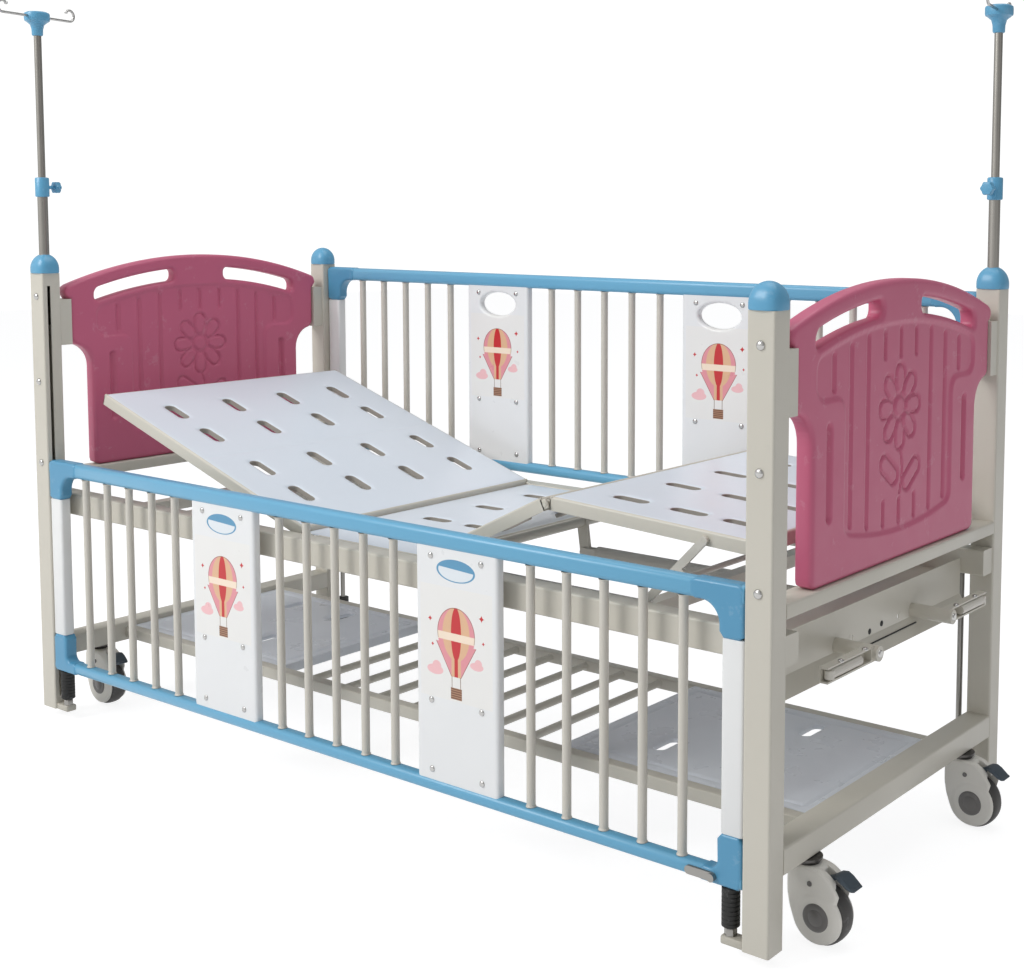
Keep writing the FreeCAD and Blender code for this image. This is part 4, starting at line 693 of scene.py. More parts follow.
# %% Panel print
def printed_panel(name, centre_x, top, badge):
    """White board with a cream film and a drawn balloon; x and z are metres from its middle."""
    f = Finish(name)
    ax, _, az = f.axes()
    x, z = ax - centre_x, az - (top - 0.182)
    base = f.blend(f.noise(6.0, 2.0), tint(229, 230, 230), tint(237, 237, 236))
    film = x.size().below(0.088, 0.001) * (z - 0.012).size().below(0.103, 0.001)
    tone = f.blend(film * 0.45, base, tint(238, 234, 226))

    def disc(cx, cz, rx, rz):
        """1 inside an ellipse."""
        least = min(rx, rz)
        return ((((x - cx) / rx) ** 2.0 + ((z - cz) / rz) ** 2.0).root() * least).below(least)

    ball_z = 0.032
    ball = disc(0.0, ball_z, 0.046, 0.048)
    skirt_half = (z + 0.048) * 0.62 + 0.011
    skirt = (x.size() - skirt_half).below(0.0) * z.below(0.014) * (z * -1.0).below(0.046)
    envelope = ball.high(skirt)
    drop = ((z - ball_z) / 0.0485) ** 2.0
    around = x.size() / ((1.0 - drop).high(0.12).root() * 0.046)
    tan_, red = tint(224, 180, 142), tint(198, 34, 40)
    rose, brown = tint(226, 148, 156), tint(122, 78, 54)
    gores = f.blend(around.below(0.72, 0.02), rose, tan_)
    gores = f.blend(around.below(0.27, 0.02), gores, red)
    band = (z - ball_z + 0.006).size().below(0.007)
    gores = f.blend(band, gores, tint(246, 226, 204))
    tone = f.blend(envelope, tone, gores)
    rim_line = envelope * (1.0 - disc(0.0, ball_z, 0.0445, 0.0465).high(
        (x.size() - skirt_half + 0.0016).below(0.0) * z.below(0.02)))
    tone = f.blend(rim_line * 0.7, tone, brown)
    ropes = (x.size() - 0.0105).size().below(0.0007) * (z + 0.056).size().below(0.011)
    basket = x.size().below(0.0135) * (z + 0.0765).size().below(0.0105)
    tone = f.blend(ropes, tone, brown)
    tone = f.blend(basket, tone, brown)
    weave = (z * 1500.0).math("SINE").high(0.0) * basket * 0.5
    tone = f.blend(weave, tone, tan_)
    for cx, cz, s in ((-0.052, -0.040, 1.0), (0.050, -0.018, 0.8)):
        cloud = disc(cx, cz, 0.020 * s, 0.009 * s).high(
            disc(cx + 0.004, cz + 0.007 * s, 0.011 * s, 0.010 * s))
        tone = f.blend(cloud, tone, tint(240, 190, 192))
    for cx, cz, s in ((0.062, 0.070, 1.0), (-0.064, 0.052, 0.8), (-0.058, 0.006, 0.6),
                      (0.066, 0.026, 0.6)):
        star = (x - cx).size() ** 0.6 + (z - cz).size() ** 0.6
        tone = f.blend(star.below((0.0075 * s) ** 0.6, 0.004), tone, red)
    if badge:
        badge_z = 0.182 - 0.036
        ring = ((x / 2.3) ** 2.0 + (z - badge_z) ** 2.0).root()
        tone = f.blend(ring.below(0.0205, 0.0003), tone, tint(88, 150, 186))
        pale = ring.below(0.0185, 0.0003) * (z - badge_z + x * 0.05).below(0.003)
        tone = f.blend(pale, tone, tint(226, 232, 236))
    shine = 0.3 + (f.noise(26.0, 3.0) - 0.5) * 0.14
    return f.surface(tone, shine, f.bump(f.noise(160.0, 2.0), 0.05, 0.0004), Coat_Weight=0.1)


for side, sign_y in sides:
    y0, lift, body = sign_y * rail_y, lifts[side], side + "_rail"
    low_z, high_z = slat_z + lift, panel_z + lift
    for end, sign in ends:
        x0 = mid_x + sign * 0.32825

        def panel_shape(q):
            """Distance to the panel's outline, in the rear ones less an oval hand hole."""
            x, z = q[:, 0] - x0, q[:, 1]
            edge = -soft_least(0.1 - np.abs(x), 0.2235 - np.abs(z - (0.3535 + lift)), 0.003)
            if side == "rear":
                hole_wide, hole_high = 0.0565, 0.0285
                a, b = x / hole_wide, (z - (high_z - 0.042)) / hole_high
                k = np.hypot(a, b)
                oval = k * (k - 1) / np.maximum(np.hypot(a / hole_wide, b / hole_high), 1.0)
                edge = np.maximum(edge, -oval)
            return edge

        name = "%s_%s_panel" % (side, end)
        piece(name + "_board",
              [plate(panel_shape, (x0 - 0.1, low_z - 0.010), (x0 + 0.1, high_z + 0.010),
                     0.004, 0.020, 0.007,
                     lambda a, b, h: np.stack([a, y0 + sign_y * h, b], -1))],
              printed_panel("%s_%s_print" % (side, end), x0, high_z, side == "front"),
              body, [name])
        piece(name + "_screws",
              [dome_screw((x0 + dx, y0 + way * 0.0101, z + lift), (0, way, 0), 0.006)
               for z in (0.552, 0.287, 0.158) for dx in (-0.0615, 0.0615) for way in (-1, 1)],
              chrome, body, [])

# %% [markdown]
# ## Lying surface
# The four sections are pressed from sheet: a flat top with rows of slots whose edges are drawn down
# into collars for stiffness, and a rim folded down all round over a small bend. Each is worked out
# lying flat about its own hinge and then turned by its tilt.

# %% Lying surface
pivot_z = 0.505
deck_half, leg_half = 0.340, 0.332
slot_long, slot_wide, slot_across = 0.075, 0.027, (-0.238, -0.080, 0.080, 0.238)
slot_rows = {"back": (-0.170, -0.302, -0.483, -0.615), "seat": (0.063, -0.057),
             "thigh": (0.1685,), "leg": (0.114, 0.239, 0.349)}


def about(pivot_x, tilt, height=pivot_z):
    """A map from a section's own x, y, z to the cot: turned by its tilt about its hinge."""
    c, s = math.cos(math.radians(tilt)), math.sin(math.radians(tilt))

    def placed(a, b, h):
        return np.stack([pivot_x + a * c + h * s, b, height - a * s + h * c], -1)
    return placed


def nearest_slot(q, centres, long, wide, angle=0.0):
    """Distance to the nearest of several slots."""
    return np.min([obround(q, centre, long, wide, angle) for centre in centres], axis=0)


def pan(x0, x1, half, rows, placed, crease=None, folded=True):
    """The top sheet with its drawn slots, as a plate 2 mm thick just inside the folded rim."""
    def near(q):
        centres = [(row, across) for row in rows for across in slot_across]
        return nearest_slot(q, centres, slot_long, slot_wide)

    def sheet(q):
        outer = -soft_least(-(np.abs(q[:, 1]) - half + 0.004),
                            -(np.abs(q[:, 0] - (x0 + x1) / 2) - (x1 - x0) / 2 + 0.004 * folded),
                            0.004)
        return np.maximum(outer, -near(q))

    def drawn(q):
        depth = 0.0014 * smooth(0.0035 - near(q), 0, 0.0035)
        if crease is not None:
            depth += 0.0012 * smooth(0.0045 - np.abs(q[:, 0] - crease), 0, 0.0045)
        return depth

    def cut_edge(q):
        """The cut edge of a slot, pressed 3 mm further down than the sheet around it."""
        return -drawn(q) - 0.003 * smooth(0.003 - near(q), 0, 0.0025)
    return plate(sheet, (x0, -half), (x1, half), 0.0045, 0.002, 0.0008,
                 lambda a, b, h: placed(a, b, 0.014 + h), drawn, cut_edge)


def collars(rows, placed):
    """Drawn collars: an upright wall 1 mm thick and 11 mm deep inside each slot of a section."""
    outer, inner = rounded(0.0746, 0.0266, 0.0132, 7), rounded(0.0726, 0.0246, 0.0122, 7)
    walls = ((outer, 0.0132), (inner, 0.0128), (inner, 0.0022), (outer, 0.0022))
    return [(np.concatenate([placed(row + loop[:, 0], across + loop[:, 1], np.full(len(loop), h))
                             for loop, h in walls]), grid_faces(4, len(outer), True, True))
            for row in rows for across in slot_across]


def fold():
    """Section of the folded rim: a quarter bend from the top sheet into a flange 25 mm deep."""
    t = np.linspace(0, math.pi / 2, 6)
    outer, inner = (np.stack([-0.0045 + r * np.sin(t), 0.0105 + r * np.cos(t)], -1)
                    for r in (0.0045, 0.0025))
    return np.concatenate([outer, [[0, -0.0098], [-0.002, -0.0098]], inner[::-1]])


def rim(x0, x1, half, placed, folded=(True, True)):
    """The folded rim on the sides and, where the section has one, at its ends."""
    out, up = fold().T
    lines = [((x0, x1), (half, half), (0, 1)), ((x1, x0), (-half, -half), (0, -1))]
    if folded[0]:
        lines.append(((x0, x0), (-half, half), (-1, 0)))
    if folded[1]:
        lines.append(((x1, x1), (half, -half), (1, 0)))
    return [skin([placed(x + out * dx, y + out * dy, up) for x, y in zip(xs, ys)])
            for xs, ys, (dx, dy) in lines]


def pin(start, end, radius, placed, count=20):
    """A round pin or tube between two points of a section's own frame."""
    start, end = np.asarray(start, float), np.asarray(end, float)
    p, f = tube([start, start + (end - start) * 0.5, end], radius, count)
    return placed(*p.T), f


def side_pins(x, near, far, radius, placed):
    """The same short pin on both sides of a section."""
    return [pin((x, sign * near, 0), (x, sign * far, 0), radius, placed) for _, sign in sides]


def ears(low, high, half, placed):
    """The same rounded block just inside the rim on both sides of a section, from x, z to x, z."""
    made, thick, radius = [], 0.005, 0.0015
    size = (high[0] - low[0], thick, high[1] - low[1])
    for _, sign in sides:
        y, z = sign * (half - 0.001 - thick / 2), (low[1] + high[1]) / 2
        p, f = bar(rounded(size[1], size[2], radius, 3), (low[0], y, z), (high[0], y, z))
        made.append((placed(*p.T), f))
    return made


def lever(y, length, lean, placed):
    """The drive lever: a rounded strap 8 mm thick from the torque tube down to its pin."""
    radius = 0.013
    c, s = math.cos(math.radians(lean)), math.sin(math.radians(lean))
    a = np.linspace(0, math.pi, 12)
    strap = np.concatenate([np.stack([radius * np.cos(a), -length - radius * np.sin(a)], -1),
                            [[-radius, 0.004], [radius, 0.004]]])
    x, z = strap[:, 0] * c + strap[:, 1] * s, -strap[:, 0] * s + strap[:, 1] * c
    return skin([placed(x, np.full(len(x), y + d), z) for d in (-0.004, 0.004)])


def section(name, placed, half, sheet, edges, hardware, crease=None):
    """One section: its sheet between two ends and, as another piece, its rim and hinge parts."""
    rim_start, rim_end, folded = edges
    body = "frame" if name == "seat" else name
    piece(name + "_sheet",
          [pan(*sheet, half, slot_rows[name], placed, crease, name != "seat")],
          deck_grey, body, [name + "_section"])
    piece(name + "_rim", rim(rim_start, rim_end, half, placed, folded) + hardware,
          beige, body, [])


def torque_tube(placed):
    return [pin((0, -0.339, 0), (0, 0.339, 0), 0.010, placed, 24)]


thigh_x, thigh_tilt, knee = mid_x + 0.158, 26, 0.341
back = about(mid_x - 0.143, 18)
seat = about(mid_x, 0)
thigh = about(thigh_x, -thigh_tilt)
leg = about(thigh_x + knee * math.cos(math.radians(thigh_tilt)), 3,
            pivot_z + knee * math.sin(math.radians(thigh_tilt)))
section("back", back, deck_half, (-0.745, -0.038), (-0.745, -0.038, (True, True)),
        ears((-0.078, -0.010), (0.002, 0.010), deck_half, back)
        + side_pins(0, 0.3385, 0.3492, 0.006, back) + side_pins(0, 0.334, 0.339, 0.010, back)
        + torque_tube(back) + [lever(-0.140, 0.070, -34, back)], crease=-0.381)
section("seat", seat, deck_half, (-0.175, 0.148), (-0.1315, 0.148, (False, False)), [])
section("thigh", thigh, deck_half, (0.002, 0.337), (0.002, 0.337, (False, True)),
        ears((0.307, -0.008), (0.347, 0.010), deck_half, thigh)
        + side_pins(0, 0.3385, 0.3492, 0.006, thigh)
        + torque_tube(thigh) + [lever(0.140, 0.065, 18, thigh)])
section("leg", leg, leg_half, (0.006, 0.434), (0.006, 0.434, (True, True)),
        ears((-0.007, -0.007), (0.039, 0.007), leg_half, leg)
        + side_pins(0, 0.326, 0.340, 0.004, leg) + side_pins(0.340, 0.330, 0.340, 0.004, leg))
# The collars take the darker collar finish, which paints shade into the slots.
for name, placed in (("back", back), ("seat", seat), ("thigh", thigh), ("leg", leg)):
    piece(name + "_slot_collars", collars(slot_rows[name], placed), collar_painted_shade,
          "frame" if name == "seat" else name, [])

# %% [markdown]
# ## Post caps
# A cap is a dome on a short skirt. Seen from above it is a rounded oblong, so the turned profile is
# stretched: the ring at each height is a superellipse, |x/a|^2.8 + |y/b|^2.8 = 1.

# %% Post caps
t = np.linspace(0, math.pi / 2, 14)
cap_profile = np.concatenate([[[0.90, 0.0], [0.99, 0.0008], [1.0, 0.004], [1.0, 0.010]],
                              np.stack([np.cos(t), 0.010 + 0.034 * np.sin(t)], -1)[1:]])
cap_sides, cap_half, cap_z = 48, np.array([0.0298, 0.0268]), 1.022
a = np.linspace(0, 2 * math.pi, cap_sides, endpoint=False)
ring = np.stack([np.cos(a), np.sin(a)], -1)
ring = np.sign(ring) * np.abs(ring) ** (2 / 2.8) * cap_half
caps = []
for _, sign, sign_y in stations:
    middle = [mid_x + sign * post_x, sign_y * post_y]
    points = [np.column_stack([middle + ring * r, np.full(cap_sides, cap_z + z)])
              for r, z in cap_profile]
    faces = grid_faces(len(cap_profile), cap_sides, close_columns=True).tolist()
    caps.append((np.concatenate(points), faces + [list(range(cap_sides))[::-1]]))
piece("post_cap_domes", caps, sky_blue, "frame", ["post_caps"])

# %% [markdown]
# ## End crossbars, shelf and its trays
# The crossbars are rectangular tubes with a tight corner. The shelf has two rails, seven round bars
# and two pressed trays with a raised border and slots.

# %% Crossbars and shelf
for end, _ in ends:
    for level in ("low", "top"):
        name = "%s_%s_crossbar" % (end, level)
        centre, half = spot(name)
        piece(name + "_tube",
              [bar(rounded(half[0] * 2, half[2] * 2, 0.004, 4),
                   centre - [0, half[1], 0], centre + [0, half[1], 0], ease=0.0002)],
              beige, "frame", [name])
shelf_z, shelf_reach = 0.1595, 0.941
piece("shelf_side_rails",
      [bar(rounded(0.025, 0.025, 0.003, 4), (mid_x - shelf_reach, sign * 0.2285, shelf_z),
           (mid_x + shelf_reach, sign * 0.2285, shelf_z), ease=0.0002) for _, sign in sides],
      beige, "frame", ["shelf_rails"])
rung = [(0.0095, 0), (0.0088, 0.0015), (0.008, 0.003), (0.008, 0.429), (0.0088, 0.4305),
        (0.0095, 0.432)]
piece("shelf_rungs",
      [turned(rung, (mid_x + 0.102 * i, -0.216, shelf_z), (0, 1, 0), 24) for i in range(-3, 4)],
      beige, "frame", ["shelf_bars"])
tray_low, tray_high = 0.152, 0.1718
for end, _ in ends:
    centre, half = spot(end + "_shelf_tray")
    cx, hx, hy = centre[0], half[0], half[1]
    vents = [(cx - 0.030 + dx, dy) for dx in (-0.090, 0.090) for dy in (-0.087, 0.141)]

    def near_vent(q):
        return nearest_slot(q, vents, 0.072, 0.026, math.pi / 2)

    def border(q, inset):
        """Distance to the tray's outline moved inwards."""
        return np.maximum(np.abs(q[:, 0] - cx) - hx + inset, np.abs(q[:, 1]) - hy + inset)

    def tray_relief(q):
        depth = 0.0025 * smooth(0.005 - np.abs(border(q, 0.026)), 0, 0.005)
        return depth + 0.004 * smooth(0.012 - near_vent(q), 0, 0.010)

    def flange(a0, b0, a1, b1):
        """An upright strip 2 mm thick from one corner of the tray, at a0, b0, to the next."""
        starts = np.array([cx + a0 * hx, b0 * hy]), np.array([cx + a1 * hx, b1 * hy])
        inward = -0.001 * np.array([a0 + a1, b0 + b1])
        return skin([[[*(start + step * inward), z] for start, z in
                      zip((*starts, *starts[::-1]), (tray_low, tray_low, tray_high, tray_high))]
                     for step in (0, 1)])

    piece(end + "_tray_sheet",
          [plate(lambda q: np.maximum(border(q, 0.002), -near_vent(q)), (cx - hx, -hy),
                 (cx + hx, hy), 0.005, 0.002, 0.0008,
                 lambda a, b, h: np.stack([a, b, 0.171 + h], -1), tray_relief,
                 lambda q: -tray_relief(q) - 0.007 * smooth(0.004 - near_vent(q), 0, 0.003)),
           flange(-1, -1, 1, -1), flange(1, 1, -1, 1), flange(-1, 1, -1, -1),
           flange(1, -1, 1, 1)],
          tray_grey, "frame", [end + "_shelf_tray"])

# %% [markdown]
# ## Casters
# Each caster has a moulded fairing that covers most of the wheel: two cheeks under a hood, with a
# round grey hub cap. It turns on a dark bearing under the crossbar. The wheel is a turned tyre, the
# brake pedal a band bent up at its tip.

# %% Casters
wheel_x, wheel_z = 0.030, 0.050      # the axle, from the swivel's axis and the floor
pedal_x, pedal_z = 0.044, 0.110      # the pedal's pivot
cheek_y = 0.0245                     # the outer face of a cheek


def rounded_loop(loop):
    """A closed outline whose corners are cut at a quarter of each side, three times over."""
    for _ in range(3):
        after = np.roll(loop, -1, 0)
        loop = np.stack([loop * 0.75 + after * 0.25, loop * 0.25 + after * 0.75], 1).reshape(-1, 2)
    return loop


fairing = rounded_loop(np.array([
    [-0.010, 0.034], [-0.0205, 0.054], [-0.0245, 0.076], [-0.0250, 0.100], [-0.0240, 0.118],
    [-0.0165, 0.1275], [0.002, 0.1295], [0.026, 0.1285], [0.042, 0.1235], [0.055, 0.113],
    [0.064, 0.101], [0.0700, 0.0905], [0.0695, 0.0825], [0.0615, 0.0795], [0.052, 0.0775],
    [0.050, 0.050], [0.0, 0.034]]))


def from_axle(q):
    return np.hypot(q[:, 0] - wheel_x, q[:, 1] - wheel_z)


def cheek_shape(q):
    """A disc over the wheel joined smoothly to the hood's outline."""
    return soft_least(from_axle(q) - 0.0452, inside(q, fairing), 0.004)


def hood_shape(q):
    """The same outline a hair further in, kept clear of the wheel."""
    return np.maximum(np.maximum(inside(q, fairing) + 0.00015, 0.0535 - from_axle(q)),
                      np.maximum(0.056 - q[:, 1], q[:, 0] - 0.058))


def gated_hood(q):
    """The middle of the hood, open over the pedal's arm."""
    return np.maximum(hood_shape(q), np.minimum(q[:, 0] - 0.034, q[:, 1] - 0.094))


def raised_disc(q):
    """The cheek stands 1.2 mm lower outside a disc round the axle."""
    return 0.0012 * smooth(from_axle(q) - 0.033, 0, 0.006)


tyre = mirrored([(0.0370, 0.0), (0.0372, -0.0155), (0.0385, -0.0168), (0.0430, -0.0170),
                 (0.0470, -0.0150), (0.0490, -0.0110), (0.0497, -0.0060), (0.0500, 0.0)])
wheel_rim = closed(mirrored([(0.0052, -0.0160), (0.0130, -0.0165), (0.0150, -0.0120),
                             (0.0330, -0.0110), (0.0355, -0.0150), (0.0374, -0.0155)]))
bearing = [(0, 0.1392), (0.0235, 0.1392), (0.025, 0.1385), (0.025, 0.1345), (0.0225, 0.1335),
           (0.0215, 0.131), (0.0200, 0.1275), (0, 0.1270)]
hub_cap = [(0, 0.0018), (0.0125, 0.0016), (0.0135, 0.0009), (0.0185, 0.0014), (0.0222, 0.0012),
           (0.0232, 0.0004), (0.0234, -0.0008), (0, -0.0008)]
small_cap = [(0, 0.0010), (0.0038, 0.0008), (0.0044, 0.0), (0.0044, -0.001), (0, -0.001)]
# along the pedal from its pivot: forward, up, half width and half thickness
pedal = np.array([
    [-0.004, -0.0005, 0.0072, 0.0036], [0.005, 0.0030, 0.0076, 0.0040],
    [0.0115, 0.0072, 0.0078, 0.0040], [0.0165, 0.0098, 0.0140, 0.0042],
    [0.0225, 0.0096, 0.0170, 0.0046], [0.0300, 0.0056, 0.0172, 0.0044],
    [0.0375, 0.0000, 0.0168, 0.0038], [0.0440, -0.0036, 0.0156, 0.0030],
    [0.0480, -0.0036, 0.0135, 0.0022], [0.0500, -0.0022, 0.0110, 0.0014]])
pedal_run = np.gradient(pedal[:, :2], axis=0)
pedal_run /= np.linalg.norm(pedal_run, axis=1)[:, None]
for tag, sign, sign_y in stations:
    x, y = mid_x + sign * 0.977, sign_y * 0.288
    axle, across = (x + wheel_x, y, wheel_z), (0, 1, 0)

    def hood(shape, thick, offset, flip=1):
        """A slice of the hood, `offset` to one side of the wheel's middle."""
        return plate(shape, (-0.026, 0.05), (0.072, 0.131), 0.0026, thick, 0.0006,
                     lambda a, b, h: np.stack([x + a, y + flip * (offset + h), b], -1))

    shell = [hood(gated_hood, 0.0176, 0.0)]
    hubs = []
    for way in (-1, 1):
        shell.append(hood(hood_shape, 0.0129, 0.01495, way))
        shell.append(plate(cheek_shape, (-0.026, 0.004), (0.076, 0.131), 0.0026, 0.0062, 0.005,
                           lambda a, b, h: np.stack([x + a, y + way * (0.0214 + h), b], -1),
                           raised_disc, None, 0.0))
        hubs.append(turned(hub_cap, (x + wheel_x, y + way * cheek_y, wheel_z), (0, way, 0)))
        hubs.append(turned(small_cap, (x + 0.018, y + way * cheek_y, 0.103), (0, way, 0), 20))
    hubs.append(turned(stub(0.003, -0.0100, 0.0100), (x + pedal_x, y, pedal_z), across, 16))
    piece("caster_fairing_" + tag, shell, nylon, "caster_" + tag, ["caster_fork_" + tag])
    piece("caster_bearing_" + tag,
          [turned(bearing, (x, y, 0)), turned(stub(0.005, -0.0262, 0.0262), axle, across, 20)],
          dark_steel, "caster_" + tag, [])
    piece("caster_hub_caps_" + tag, hubs, hub_grey, "caster_" + tag, [])
    piece("caster_tyre_" + tag, [turned(tyre, axle, across, 56)],
          tyre_grey, "wheel_" + tag, ["caster_wheel_" + tag])
    piece("caster_rim_" + tag, [turned(wheel_rim, axle, across, 48)],
          nylon, "wheel_" + tag, [])
    rings = []
    for (px, pz, wide, thick), (run, rise) in zip(pedal, pedal_run):
        sec = rounded(2 * wide, 2 * thick, min(wide, thick) * 0.8, 4)
        rings.append(np.column_stack([x + pedal_x + px - sec[:, 1] * rise, y + sec[:, 0],
                                      pedal_z + pz + sec[:, 1] * run]))
    piece("caster_pedal_" + tag, [skin(rings)], pedal_grey, "pedal_" + tag,
          ["brake_pedal_" + tag])

# %% [markdown]
# ## Drip poles
# Two poles telescope out of the corner posts. The lower tube ends in a blue clamp collar with a
# small knob; the inner pole carries a blue crown with two wire hooks that end in a curl.

# %% Drip poles
clamp_z = 1.215
sleeve = closed([(0.0083, 0.905), (0.011, 0.905), (0.011, 1.200), (0.0083, 1.200)])
clamp = closed([(0.0083, 1.1935), (0.0135, 1.1935), (0.015, 1.195), (0.015, 1.2345),
                (0.0135, 1.2365), (0.0105, 1.2370), (0.0083, 1.2368)])
crown = [(0.0081, -0.054), (0.0105, -0.054), (0.0118, -0.052), (0.0122, -0.040),
         (0.0150, -0.030), (0.0215, -0.0245), (0.0262, -0.0215), (0.0270, -0.018),
         (0.0270, -0.008), (0.0262, -0.0045), (0.0200, -0.0015), (0.0100, -0.0002), (0, 0.0)]
bead = [(0, -0.004), (0.003, -0.0033), (0.0043, 0), (0.003, 0.0033), (0, 0.004)]
# the grip's profile: share of the lobed outline, and distance from the pole's axis
grip = ((0.30, 0.0275), (0.86, 0.0275), (1.0, 0.029), (1.0, 0.0385), (0.9, 0.0405), (0.5, 0.0412))
hook_end, curl_r, hook_turn = 0.094, 0.0125, math.radians(12)
for end, sign, hub_z in (("head", -1, 1.605), ("foot", 1, 1.565)):
    x, y, body = mid_x + sign * post_x, sign * post_y, end + "_pole"
    piece(body + "_sleeve", [turned(sleeve, (x, y, 0), count=36)], pole_steel, "frame",
          [end + "_iv_socket"])
    piece(body + "_collar", [turned(clamp, (x, y, 0), count=36)], sky_blue, "frame", [])
    a = np.linspace(0, 2 * math.pi, 48, endpoint=False)
    lobes = 0.0128 + 0.0010 * np.cos(a * 6)
    piece(body + "_knob",
          [skin([np.column_stack([x + lobes * r * np.cos(a), np.full(48, y - sign * h),
                                  clamp_z + lobes * r * np.sin(a)]) for r, h in grip]),
           turned(stub(0.004, 0.0110, 0.0280), (x, y, clamp_z), (0, -sign, 0), 16)],
          sky_blue, end + "_knob", [end + "_iv_knob"])
    foot_z, top = clamp_z - 0.3 + (hub_z - 1.565), hub_z - 0.02
    inner = [(0, foot_z), (0.0072, foot_z), (0.008, foot_z + 0.001), (0.008, top), (0, top)]
    piece(body + "_inner", [turned(inner, (x, y, 0), count=32)], pole_steel, body,
          [end + "_iv_pole"])
    piece(body + "_crown", [turned(crown, (x, y, hub_z))], sky_blue, body, [])
    hooks = []
    for way in (-1, 1):
        a = np.linspace(-math.pi / 2, math.pi * 0.78, 26)[1:]
        out = np.concatenate([np.linspace(0.012, hook_end, 8), hook_end + curl_r * np.cos(a)])
        up = np.concatenate([np.zeros(8), curl_r + curl_r * np.sin(a)])
        path = np.column_stack([x - math.sin(hook_turn) * way * out,
                                y + math.cos(hook_turn) * way * out, hub_z - 0.012 + up])
        hooks += [tube(path, 0.0029, 14), turned(bead, path[-1], count=14)]
    piece(body + "_hooks", hooks, chrome, body, [])
print("poles made")

# %% [markdown]
# ## Guides, screws and small hardware
# Each side rail runs on an upright rod at each end, with a black rubber sleeve as its stop. Dome
# screws hold the posts. The fascia has three black plugs, two beige blanks and a thin slot, drawn
# as a black strip that is painted shade, and a bare tie plate crosses behind it.

# %% Guides and screws
rod = [(0, 0.024), (0.006, 0.024), (0.006, 0.5805), (0.0052, 0.5818), (0, 0.582)]
nut = [(0, 0.035), (0.0105, 0.035), (0.0105, 0.0455), (0.0095, 0.047), (0, 0.047)]
ribs = [point for k in range(9)
        for point in ((0.0150, 0.0511 + k * 0.0072), (0.0150, 0.0557 + k * 0.0072),
                      (0.0141, 0.0565 + k * 0.0072))]
buffer = closed([(0.0066, 0.0502), (0.0140, 0.0502)] + ribs + [(0.0066, 0.1156)])
rods, sleeves, feet, screws = [], [], [], []
for _, sign, sign_y in stations:
    x, y = mid_x + sign * 0.912, sign_y * rail_y
    rods += [turned(rod, (x, y, 0), count=24), turned(nut, (x, y, 0), count=6)]
    low, high = sorted((mid_x + sign * 0.900, mid_x + sign * 0.941))
    feet.append(bar(rounded(0.024, 0.0138, 0.003, 3), (low, y, 0.028), (high, y, 0.028)))
    sleeves.append(turned(buffer, (x, y, 0), count=32))
    screws += [dome_screw((mid_x + sign * post_x, sign_y * 0.4269, z), (0, sign_y, 0),
                          0.0078, 0.0050) for z in (0.970, 0.777, 0.592)]
piece("guide_rod_set", rods, zinc, "frame", ["guide_rods"])
# The guide feet take the darker beige, which is painted shade.
piece("guide_feet", feet, shaded_beige, "frame", [])
piece("guide_sleeves", sleeves, black_rubber, "frame", ["guide_buffers"])
piece("post_screws", screws, chrome, "frame", [])

fascia_x, tie_reach = 0.9026, 0.3432
plug = [(0, 0.0010), (0.0046, 0.0008), (0.0054, 0.0002), (0.0054, -0.0018), (0, -0.0018)]
blank = [(0, 0.0006), (0.0058, 0.0005), (0.0062, 0.0001), (0.0062, -0.0012), (0, -0.0012)]
piece("fascia_blanks_and_tie_plate",
      [turned(blank, (fascia_x, y, 0.442), (1, 0, 0), 24) for y in (-0.0908, 0.0908)]
      + [bar(rounded(0.070, 0.010, 0.003, 3), (0.818, -tie_reach, 0.4665),
             (0.818, tie_reach, 0.4665), ease=0.0004)], beige, "frame", [])
piece("fascia_plugs_and_slot_shade",
      [turned(plug, (fascia_x, y, z), (1, 0, 0), 20)
       for y, z in ((-0.0224, 0.4375), (0.0218, 0.442), (0.150, 0.4375))]
      # A black strip is laid in the fascia's thin slot: painted shade, not a part.
      + [bar(rounded(0.0040, 0.0022, 0.0005, 2), (0.9092, -0.034, 0.4185),
             (0.9092, 0.1425, 0.4185), ease=0.0003)], black_rubber, "frame", [])
end_bolt = [(0, 0.0034), (0.0050, 0.0030), (0.0066, 0.0012), (0.0070, -0.0010), (0, -0.0010)]
for body, way in (("back_handle", -1), ("thigh_handle", 1)):
    piece(body + "_bolts",
          [dome_screw((0.975, way * y, 0.4538), (0, 0, 1), 0.0052, 0.0046) for y in (0.172, 0.252)]
          + [turned(end_bolt, (0.9856, way * 0.140, 0.441), (1, 0, 0), 24)],
          chrome, body, [])

# %% [markdown]
# ## The rest of the frame
# Solids whose shape is already right keep it and get their finish.

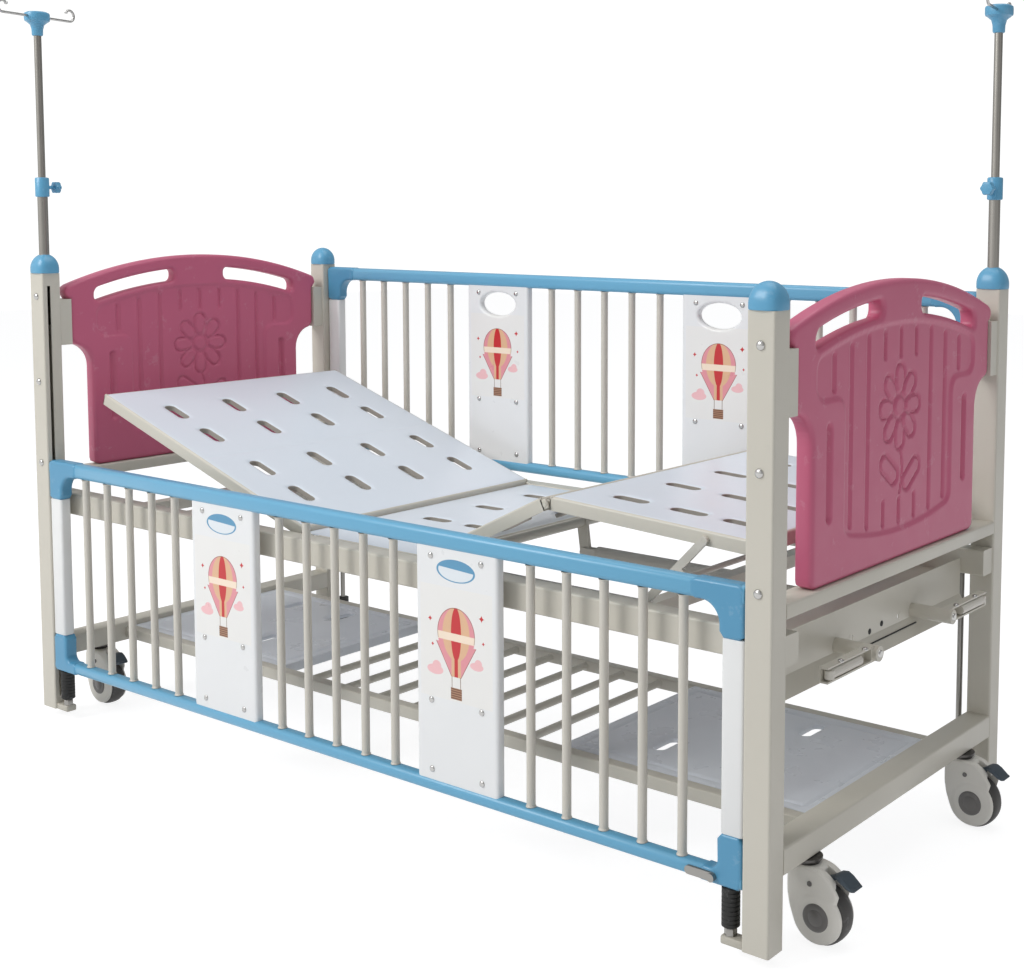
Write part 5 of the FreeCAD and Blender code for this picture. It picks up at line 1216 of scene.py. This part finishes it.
# %% Finishes of the remaining solids
for name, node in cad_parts.items():
    if node.hide_render:
        continue
    if (name.startswith("post_") or name.endswith(("_beam", "_crank"))
            or name in ("deck_cross_tubes", "crank_fascia")):
        finish = beige
    elif name.endswith("_grip") or name in ("leg_prop", "back_push_tube", "thigh_push_tube"):
        finish = bar_beige
    else:
        finish = zinc
    node.data.materials.clear()
    node.data.materials.append(finish)
    print("finish", finish.name, "on", name)

# %% [markdown]
# ## Floor and sky
# A wide pale floor looks white to the camera where light reaches it, and keeps the soft shadow.
# The sky that metal mirrors is white on the lamp's side and grey on the other, so poles look round.

# %% Floor and sky
far = 14
floor_mesh = bpy.data.meshes.new("studio_floor")
floor_mesh.from_pydata([(-far, -far, 0), (far, -far, 0), (far, far, 0), (-far, far, 0)], [],
                       [(0, 1, 2, 3)])
floor = bpy.data.objects.new("studio_floor", floor_mesh)
scene.collection.objects.link(floor)
f = Finish("studio_floor")
diffuse = f.node("ShaderNodeBsdfDiffuse", {}, {"Color": (0.88, 0.88, 0.89, 1)})
glow = f.node("ShaderNodeEmission", {}, {"Color": (1, 1, 1, 1), "Strength": 1.31})
f.close("ShaderNodeOutputMaterial",
        f.node("ShaderNodeMixShader", {}, {0: f.seen() * 0.66, 1: diffuse, 2: glow}))
floor_mesh.materials.append(f.material)
world = bpy.data.worlds.new("studio_sky")
scene.world = world
sky = Net(world)
lamp_side = sky.node("ShaderNodeVectorMath", {"operation": "DOT_PRODUCT"}, {
    0: sky.node("ShaderNodeTexCoord", {}, {}, "Generated"), 1: (-0.57, -0.80, 0.18)}, "Value")
brightness = sky.ray("Camera").high(lamp_side) * 0.72 + 0.36
soft = sky.node("ShaderNodeBackground", {}, {"Color": (0.93, 0.96, 1.0, 1), "Strength": 0.42})
white = sky.node("ShaderNodeBackground", {}, {"Color": (1, 1, 1, 1), "Strength": brightness})
sky.close("ShaderNodeOutputWorld",
          sky.node("ShaderNodeMixShader", {}, {0: sky.seen(), 1: soft, 2: white}))
